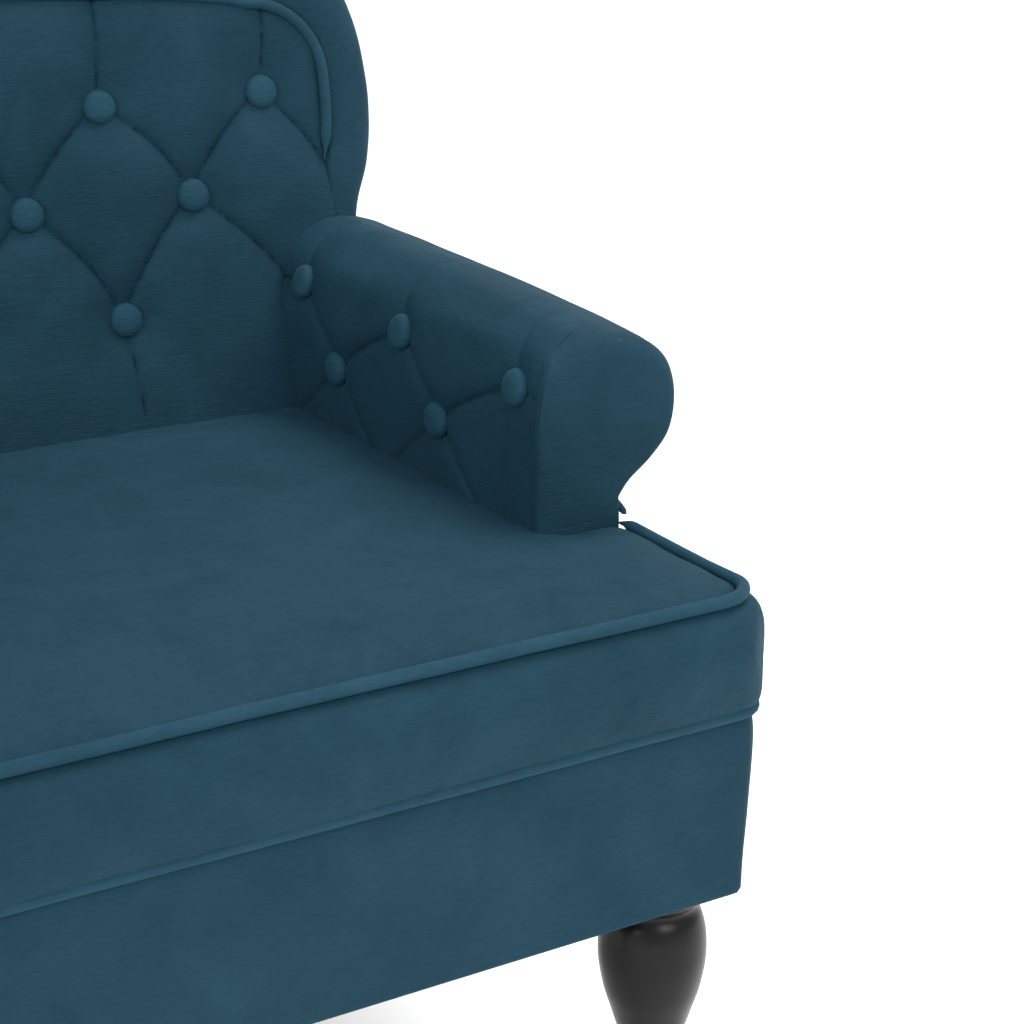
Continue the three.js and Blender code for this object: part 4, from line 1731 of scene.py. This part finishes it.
    @staticmethod
    def _outward(line: Array) -> Array:
        """Unit directions away from the chair's middle, square to an open line.

        Args:
            line: the points, in X and Z.

        Returns:
            One direction for each point.
        """
        ahead = np.gradient(line, axis=0)
        out = np.stack([ahead[:, 1], -ahead[:, 0]], axis=1)
        return out / (np.linalg.norm(out, axis=1, keepdims=True) + 1e-12)

    def rear(self) -> bpy.types.Object:
        """Builds the plain outside back, drawn tight, with its edge turned under.

        Returns:
            The outside back.
        """
        _, outer = self._edges(150)
        floor = np.column_stack([np.linspace(-0.328, 0.328, 80)[1:-1], np.full(78, 0.350)])
        loop = np.vstack([outer, floor])
        centre = np.array([0.0, 0.56])
        shares = np.array([0.0, 0.12, 0.25, 0.4, 0.55, 0.7, 0.82, 0.9, 0.95, 0.98, 1.0])[1:]
        rows = []
        for share in shares:
            plan = centre + (loop - centre) * (share * 0.9965)
            swell = 0.004 * (1 - share**3) - 0.0028 * smoothstep(0.965, 1.0, np.array(share))
            rows.append(np.column_stack([plan[:, 0], self.lines.rear_of_back(plan[:, 1]) - 0.001 + swell,
                                         plan[:, 1]]))
        under = rows[-1].copy()
        under[:, 1] -= 0.004
        rows.append(under)
        grid = np.stack(rows, axis=1)
        grid[..., 1] += 0.0012 * ripple(grid, 0.14, 9.2)
        count, rows_n = grid.shape[:2]
        verts = grid.reshape(-1, 3).tolist()
        middle_y = float(self.lines.rear_of_back(0.56))
        verts += [[0.0, middle_y + 0.003, 0.56], [0.0, middle_y - 0.004, 0.56]]
        faces: list[tuple[int, ...]] = []
        for i in range(count):
            j = (i + 1) % count
            for k in range(rows_n - 1):
                faces.append((i * rows_n + k, j * rows_n + k, j * rows_n + k + 1, i * rows_n + k + 1))
            faces.append((len(verts) - 2, j * rows_n, i * rows_n))
            faces.append((len(verts) - 1, i * rows_n + rows_n - 1, j * rows_n + rows_n - 1))
        piece = new_piece("outside_back", np.array(verts), faces, self.finishes.velvet)
        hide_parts("outside_back_cover")
        return piece


# ------------------------------------------------------------------ arms
@dataclass
class Arm:
    """A rolled arm: a buttoned inside and roll in one cover, a front facing and an outside panel.

    Attributes:
        side: which side of the chair it is on.
        finishes: the materials.
        lines: the shared lines.
    """

    side: Side
    finishes: Finishes
    lines: Lines

    def profile(self, count: int) -> Array:
        """The cover's line from the seat, over the roll, to the seam under it: X and Z.

        Args:
            count: how many points.

        Returns:
            The points.
        """
        inner = self.lines.arm[0].x
        path = [(inner, 0.395), (inner, 0.43), (inner, 0.47), *reversed(ARM_ROLL)]
        return smooth_through(path, count)

    @staticmethod
    def rounding(x: Array, z: Array) -> Array:
        """The radius with which the arm's front rounds over into the roll, at each X and Z."""
        return 0.008 + smoothstep(0.485, 0.555, z) * (0.013 - 0.003 * smoothstep(0.318, 0.350, x))

    def button_places(self) -> Array:
        """Each button's Y and Z, from the frame.

        Returns:
            The places.
        """
        places = []
        for i in range(1, 6):
            low, high = (Vector(c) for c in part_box(f"arm_button_{self.side.word}_{i}"))
            places.append(((low.y + high.y) / 2, (low.z + high.z) / 2))
        return np.array(places)

    def tufting(self) -> Tufting:
        """The dents and pleats of the inside arm, in Y and distance along the profile.

        Returns:
            The tufting.
        """
        line = self.profile(400)
        along = np.concatenate([[0], np.cumsum(np.linalg.norm(np.diff(line, axis=0), axis=1))])
        inside = along < 0.17
        places = self.button_places()
        places[:, 1] = np.interp(places[:, 1], line[inside][:, 1], along[inside])
        top, low = places[:3], places[3:]
        seat = float(np.interp(0.425, line[inside][:, 1], along[inside]))
        pleats = []
        for a in top:
            for b in low:
                if abs(a[0] - b[0]) < 0.1:
                    bow = (0.0, 0.004)
                    pleats.append((arched(a, b, bow), 1.0, 0.9))
        for b in low:
            pleats.append((arched(b, (b[0] - 0.062, seat)), 0.85, 0.5))
            pleats.append((arched(b, (b[0] + 0.062, seat)), 0.85, 0.5))
        for a in top:
            pleats.append((arched(a, (a[0] + 0.004, a[1] + 0.112), (0.006, 0.0)), 0.95, 0.0))
        pleats.append((arched(top[0], (self.lines.arm[0].y - 0.002, top[0][1] - 0.004)), 0.9, 0.8))
        pleats.append((arched(top[2], (top[2][0] + 0.05, top[2][1] - 0.004)), 0.9, 0.8))
        return Tufting(places, pleats, dent=0.0045, dent_radius=0.018, crease=0.0055, fullness=0.0042)

    def _surface(self, tufting: Tufting, columns: int, rows: int, share: float,
                 swollen: Array | None) -> tuple[Array, Array, Array, Array]:
        """The cover's points, with a share of its tufting and any swelling.

        Args:
            tufting: the dents and pleats.
            columns: points from front to back.
            rows: points over the roll.
            share: how much of the tufting's rise to take.
            swollen: how far the filling has moved each point, or None.

        Returns:
            The points, the bare surface's normals, and each point's two positions on the panel.
        """
        line = self.profile(rows)
        along = np.concatenate([[0], np.cumsum(np.linalg.norm(np.diff(line, axis=0), axis=1))])
        front = self.lines.arm[0].y
        t = np.linspace(0, 1, columns)
        bare = np.zeros((columns, rows, 3))
        for k, (x, z) in enumerate(line):
            rear = float(self.lines.front_of_back(z)) + 0.008
            inside = float(1 - smoothstep(0.13, 0.21, np.array(along[k])))
            start = front + self.rounding(x, z) * (1 - inside) - 0.0065 * (1 - inside)
            y = start + (rear - start) * t
            lean = -0.008 * smoothstep(front, rear, y) * inside
            crown = 0.0015 * np.sin(math.pi * t) + 0.004 * t + 0.0025 * (1 - np.exp(-(y - start) / 0.025))
            crown = crown * (1 - inside)
            bare[:, k, 0] = x + lean
            bare[:, k, 1] = y
            bare[:, k, 2] = z + crown
        normal = grid_normals(bare)
        if normal[columns // 2, 0, 0] > 0:
            normal = -normal
        u = bare[..., 1]
        v = np.repeat(along[None, :], columns, axis=0)
        over = 1 - smoothstep(0.145, 0.225, v)
        rise = share * tufting.height(u, v) * over
        seam = 1 - smoothstep(0.15, 0.20, v)
        near = np.exp(-(u - u[:1]) / 0.010)
        rise = rise * (1 - near) - 0.0008 * near * seam
        points = bare + normal * rise[..., None]
        if swollen is not None:
            points = points + swollen * over[..., None]
        return points, normal, u, v

    def cover(self) -> bpy.types.Object:
        """Builds the inside arm and roll.

        Returns:
            The cover.
        """
        tufting = self.tufting()
        columns, rows = 65, 89
        loose, normal, u, v = self._surface(tufting, columns, rows, 0.6, None)
        verts, faces = closed_sheet(loose, loose - normal * 0.016)
        draft = new_piece("arm_draft", verts, faces, self.finishes.velvet, outward=False)
        size = u.size
        held = np.ones(2 * size)
        grip = tufting.held(u, v)
        grip[0], grip[-1], grip[:, 0], grip[:, -1] = 1, 1, 1, 1
        held[:size] = grip.ravel()
        filled = Filling(pressure=4.0, limit=0.004, frames=12, looseness=0.004).swell(draft, held)
        bpy.data.objects.remove(draft)
        swollen = softened(filled[:size].reshape(loose.shape) - loose, 6)
        fine = 3
        points, normal, u, v = self._surface(tufting, (columns - 1) * fine + 1, (rows - 1) * fine + 1, 1.0,
                                             refined(swollen, fine))
        settled = smoothstep(0.0, 0.03, points[..., 1] - points[:1, :, 1])
        tug = 0.0006 * ripple(points, 0.05, 2.7 + self.side.value) * settled
        points = points + normal * tug[..., None]
        behind = points - normal * 0.010
        flip = np.array([self.side.value, 1, 1])
        verts, faces = closed_sheet(points * flip, behind * flip)
        piece = new_piece(f"buttoned_arm_{self.side.word}", verts, faces, self.finishes.velvet)
        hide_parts(f"arm_cover_{self.side.word}", f"arm_foam_{self.side.word}")
        return piece

    def buttons(self, buttons: Buttons) -> bpy.types.Object:
        """Sets the arm's buttons in their dents.

        Args:
            buttons: sets them.

        Returns:
            The buttons, as one piece.
        """
        tufting = self.tufting()
        points, normal, u, v = self._surface(tufting, 260, 360, 1.0, None)
        rims, facing = [], []
        for place in tufting.buttons:
            i, k = np.unravel_index(np.argmin((u - place[0]) ** 2 + (v - place[1]) ** 2), u.shape)
            rims.append(points[i, k] + normal[i, k] * 0.0042)
            facing.append(normal[i, k])
        flip = np.array([self.side.value, 1, 1])
        piece = buttons.set_on(f"arm_buttons_{self.side.word}",
                               np.array(rims) * flip, np.array(facing) * flip)
        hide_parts(*[f"arm_button_{self.side.word}_{i}" for i in range(1, 6)])
        return piece

    def _end(self, name: str, depth: Callable[[Array], Array], turned: float, proud: float,
             inside_shift: float) -> bpy.types.Object:
        """Builds a padded panel that closes one end of the arm.

        Args:
            name: the piece's name.
            depth: the end's Y at each height.
            turned: -1 for the front end, 1 for the rear.
            proud: how far its middle stands out.
            inside_shift: how far its inner edge lies from the profile.

        Returns:
            The panel.
        """
        line = self.profile(170).copy()
        part = np.linspace(0, 1, len(line))
        inside = 1 - smoothstep(0.34, 0.50, part)
        line[:, 0] += inside_shift * inside
        keep = line[:, 1] > 0.400
        foot = np.array([(0.3236, 0.432), (0.3236, 0.400), (line[0, 0], 0.400)])
        loop = resample(np.vstack([line[keep], foot]), 241)[:-1]
        outer = smoothstep(0.264, 0.285, loop[:, 0]) * smoothstep(0.43, 0.46, loop[:, 1])
        centre = np.array([0.306, 0.492])
        shares = [0.2, 0.4, 0.52, 0.62, 0.70, 0.76, 0.82, 0.87, 0.91, 0.94, 0.965, 0.985, 0.996, 1.0]
        radius = self.rounding(loop[:, 0], loop[:, 1])
        inward = loop_normals(loop)
        rows = []
        for share in shares:
            plan = centre + (loop - centre) * share
            edge = np.minimum((1 - share) * np.linalg.norm(loop - centre, axis=1), radius)
            recess = radius - np.sqrt(radius**2 - (radius - edge) ** 2)
            recess = recess * outer + 0.0009 * (1 - outer) * math.exp(-(1 - share) / 0.03)
            y = depth(plan[:, 1]) + turned * (proud - recess)
            rows.append(np.column_stack([plan[:, 0], y, plan[:, 1]]))
        under = rows[-1].copy()
        under[:, 1] -= turned * 0.005
        under[:, ::2] -= inward * 0.0006
        rows.append(under)
        grid = np.stack(rows, axis=1)
        fade = np.array([*[1.0] * 10, 0.7, 0.4, 0.1, 0.0, 0.0])
        grid[..., 1] += 0.0007 * ripple(grid, 0.04, 1.1 + self.side.value) * fade
        count, rows_n = grid.shape[:2]
        middle = float(depth(np.array(centre[1])))
        verts = np.vstack([grid.reshape(-1, 3), [[centre[0], middle + turned * proud, centre[1]]],
                           [[centre[0], middle - turned * 0.012, centre[1]]]])
        verts[:, 0] *= self.side.value
        faces: list[tuple[int, ...]] = []
        for i in range(count):
            j = (i + 1) % count
            for k in range(rows_n - 1):
                faces.append((i * rows_n + k, j * rows_n + k, j * rows_n + k + 1, i * rows_n + k + 1))
            faces.append((len(verts) - 2, j * rows_n, i * rows_n))
            faces.append((len(verts) - 1, i * rows_n + rows_n - 1, j * rows_n + rows_n - 1))
        return new_piece(name, verts, faces, self.finishes.velvet)

    def facing(self) -> bpy.types.Object:
        """Builds the padded panel on the arm's front, which rounds over into the roll.

        Returns:
            The facing.
        """
        front = self.lines.arm[0].y
        piece = self._end(f"arm_front_{self.side.word}", lambda z: front + 0 * z, -1, 0.0065, -0.0008)
        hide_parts(f"arm_facing_{self.side.word}")
        return piece

    def rear_end(self) -> bpy.types.Object:
        """Builds the panel that closes the roll behind, beside the back.

        Returns:
            The panel.
        """
        piece = self._end(f"arm_rear_{self.side.word}", lambda z: self.lines.front_of_back(z) + 0.008, 1,
                          0.0035, -0.008)
        return piece

    def cord_tail(self, welt: Welt) -> bpy.types.Object:
        """Leaves the short end of covered cord that hangs out under the roll in front.

        Args:
            welt: whose covered cord it is.

        Returns:
            The loose end.
        """
        y = self.lines.arm[0].y + 0.004
        path = np.array([(0.3220, y, 0.4450), (0.3275, y - 0.001, 0.4400), (0.3310, y - 0.002, 0.4350),
                         (0.3345, y - 0.002, 0.4310)]) * np.array([self.side.value, 1, 1])
        cord = Welt(welt.finish, diameter=0.0050, waver=0.0003, taper=0.004)
        return cord.sew("cord_tail", smooth_through(path, 24))

    def outside(self) -> bpy.types.Object:
        """Builds the plain panel under the roll.

        Returns:
            The panel.
        """
        low = self.lines.arm[0]
        z = np.linspace(0.3500, 0.4475, 26)
        t = np.linspace(0, 1, 70)
        tt, zz = np.meshgrid(t, z, indexing="ij")
        rear = self.lines.front_of_back(zz) + 0.008
        y = low.y + 0.0012 + (rear - low.y) * tt
        swell = 0.0018 * np.sin(math.pi * np.clip((zz - 0.350) / 0.0975, 0, 1)) ** 0.6
        x = 0.3240 + swell - 0.001 * np.exp(-tt / 0.03)
        front = np.stack([x, y, zz], axis=-1)
        front[..., 0] += 0.0007 * ripple(front, 0.06, 7.7)
        back = front.copy()
        back[..., 0] -= 0.012
        flip = np.array([self.side.value, 1, 1])
        verts, faces = closed_sheet(front * flip, back * flip)
        piece = new_piece(f"outside_arm_panel_{self.side.word}", verts, faces, self.finishes.velvet)
        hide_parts(f"outside_arm_{self.side.word}")
        return piece


# ------------------------------------------------------------------ frame, studio and the whole
def dress_frame(frame: dict[str, Any], finishes: Finishes) -> None:
    """Gives the frame's own nodes their finishes.

    Args:
        finishes: the materials.
    """
    by_word = {"rail": finishes.pine, "corner_block": finishes.pine, "spring": finishes.spring,
               "bolt": finishes.zinc, "_frame": finishes.plywood}
    for name, node in frame["nodes"].items():
        for word, material in by_word.items():
            if word in name:
                for slot in node.material_slots:
                    slot.material = material


@dataclass
class Studio:
    """A pale floor, a bright surround, soft lamps and the camera.

    Attributes:
        lines: the shared lines.
        turn: how far the camera turns to its right, in degrees.
        dip: how far it looks down, in degrees.
        lens: its focal length on a 36 mm sensor.
        surround: how bright the white all round is.
        floor_glow: a little light of the floor's own, which keeps it pale.
    """

    lines: Lines
    turn: float = 31.24
    dip: float = 19.55
    lens: float = 85.55
    surround: float = 0.84
    floor_glow: float = 0.25

    def camera(self) -> None:
        """Sets the camera, placed from the base's lower right front corner."""
        low, high = self.lines.base
        data = bpy.data.cameras.new("camera")
        data.lens, data.sensor_width = self.lens, 36.0
        data.clip_end = 60
        camera = bpy.data.objects.new("camera", data)
        camera.location = (high.x - 0.8562, low.y - 1.1163, low.z + 0.7584)
        camera.rotation_euler = (math.radians(90 - self.dip), 0, math.radians(-self.turn))
        bpy.context.scene.collection.objects.link(camera)
        bpy.context.scene.camera = camera

    def floor(self) -> None:
        """Lays a large pale floor."""
        material, tree, shader = new_material("floor_pale_matt_paint")
        mottle = add_node(tree, "ShaderNodeTexNoise", {"Vector": stretched(tree, (1, 1, 1)), "Scale": 3.0})
        colour = ramp(tree, mottle.outputs[0], [(0.3, linear("#f7f7f7")), (0.7, linear("#fbfbfb"))])
        tree.links.new(colour, shader.inputs["Base Color"])
        shader.inputs["Roughness"].default_value = 0.9
        shader.inputs["Specular IOR Level"].default_value = 0.1
        shader.inputs["Emission Color"].default_value = (1, 1, 1, 1)
        shader.inputs["Emission Strength"].default_value = self.floor_glow
        verts = np.array([(-20, -20, 0), (20, -20, 0), (20, 20, 0), (-20, 20, 0)], float)
        new_piece("floor", verts, [(0, 1, 2, 3)], material, outward=False)

    def lamp(self, name: str, place: tuple[float, float, float], size: float, power: float) -> None:
        """Hangs a soft square lamp that faces the chair.

        Args:
            name: the lamp's name.
            place: where it hangs.
            size: its side.
            power: in watts.
        """
        data = bpy.data.lights.new(name, "AREA")
        data.energy, data.size = power, size
        lamp = bpy.data.objects.new(name, data)
        lamp.location = place
        aim = Vector((0, 0, 0.45)) - Vector(place)
        lamp.rotation_euler = aim.to_track_quat("-Z", "Y").to_euler()
        bpy.context.scene.collection.objects.link(lamp)

    def light(self) -> None:
        """Lights the studio."""
        scene = bpy.context.scene
        world = bpy.data.worlds.new("studio")
        world.use_nodes = True
        background = world.node_tree.nodes["Background"]
        background.inputs[0].default_value = (1, 1, 1, 1)
        background.inputs[1].default_value = self.surround
        scene.world = world
        scene.view_settings.view_transform = "Standard"
        self.lamp("key", (0.3, -3.0, 2.2), 1.6, 62)
        self.lamp("overhead", (1.5, 0.2, 2.9), 1.4, 52)
        self.lamp("left", (-3.0, -0.9, 1.6), 1.6, 50)


def report(piece: bpy.types.Object, body: str = ROOT_BODY) -> None:
    """Makes a piece ride on its body, and says that it's done.

    Args:
        piece: the piece.
        body: the body it rides on.
    """
    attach(piece, body)
    LOG.info("%s: %d faces", piece.name, len(piece.data.polygons))


def main() -> None:
    """Builds the whole chair over the frame."""
    logging.basicConfig(level=logging.INFO, format="%(message)s")
    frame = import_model()
    lines = Lines.read()
    studio = Studio(lines)
    studio.camera()
    finishes = Finishes()
    dress_frame(frame, finishes)
    # The welts wear the velvet copy painted lighter, a painted highlight.
    welt = Welt(finishes.cord_velvet)
    # The buttons wear the velvet copy painted lighter, a painted highlight.
    buttons = Buttons(finishes.button_velvet)

    base = Base(finishes, lines)
    report(base.cover())
    cloth = base.dust_cloth()
    staples = base.staples()
    for piece, slot in ((cloth, "cambric"), (staples, "zinc_steel")):
        report(piece)
    for node in ("foot_front_left", "foot_front_right", "foot_rear_left", "foot_rear_right"):
        Foot(finishes, node).build()

    seat = Seat(finishes, lines, welt)
    report(seat.cushion())
    for piece in seat.welts():
        report(piece)

    back = Back(finishes, lines, welt)
    for piece in (back.panel(), back.sewn_welt(), back.border(), back.rear(), back.buttons(buttons)):
        report(piece)

    for side in Side:
        arm = Arm(side, finishes, lines)
        for piece in (arm.cover(), arm.facing(), arm.rear_end(), arm.outside(), arm.buttons(buttons)):
            report(piece)
    report(Arm(Side.RIGHT, finishes, lines).cord_tail(welt))
    buttons.put_away()

    studio.floor()
    studio.light()


if __name__ == "__main__":
    main()
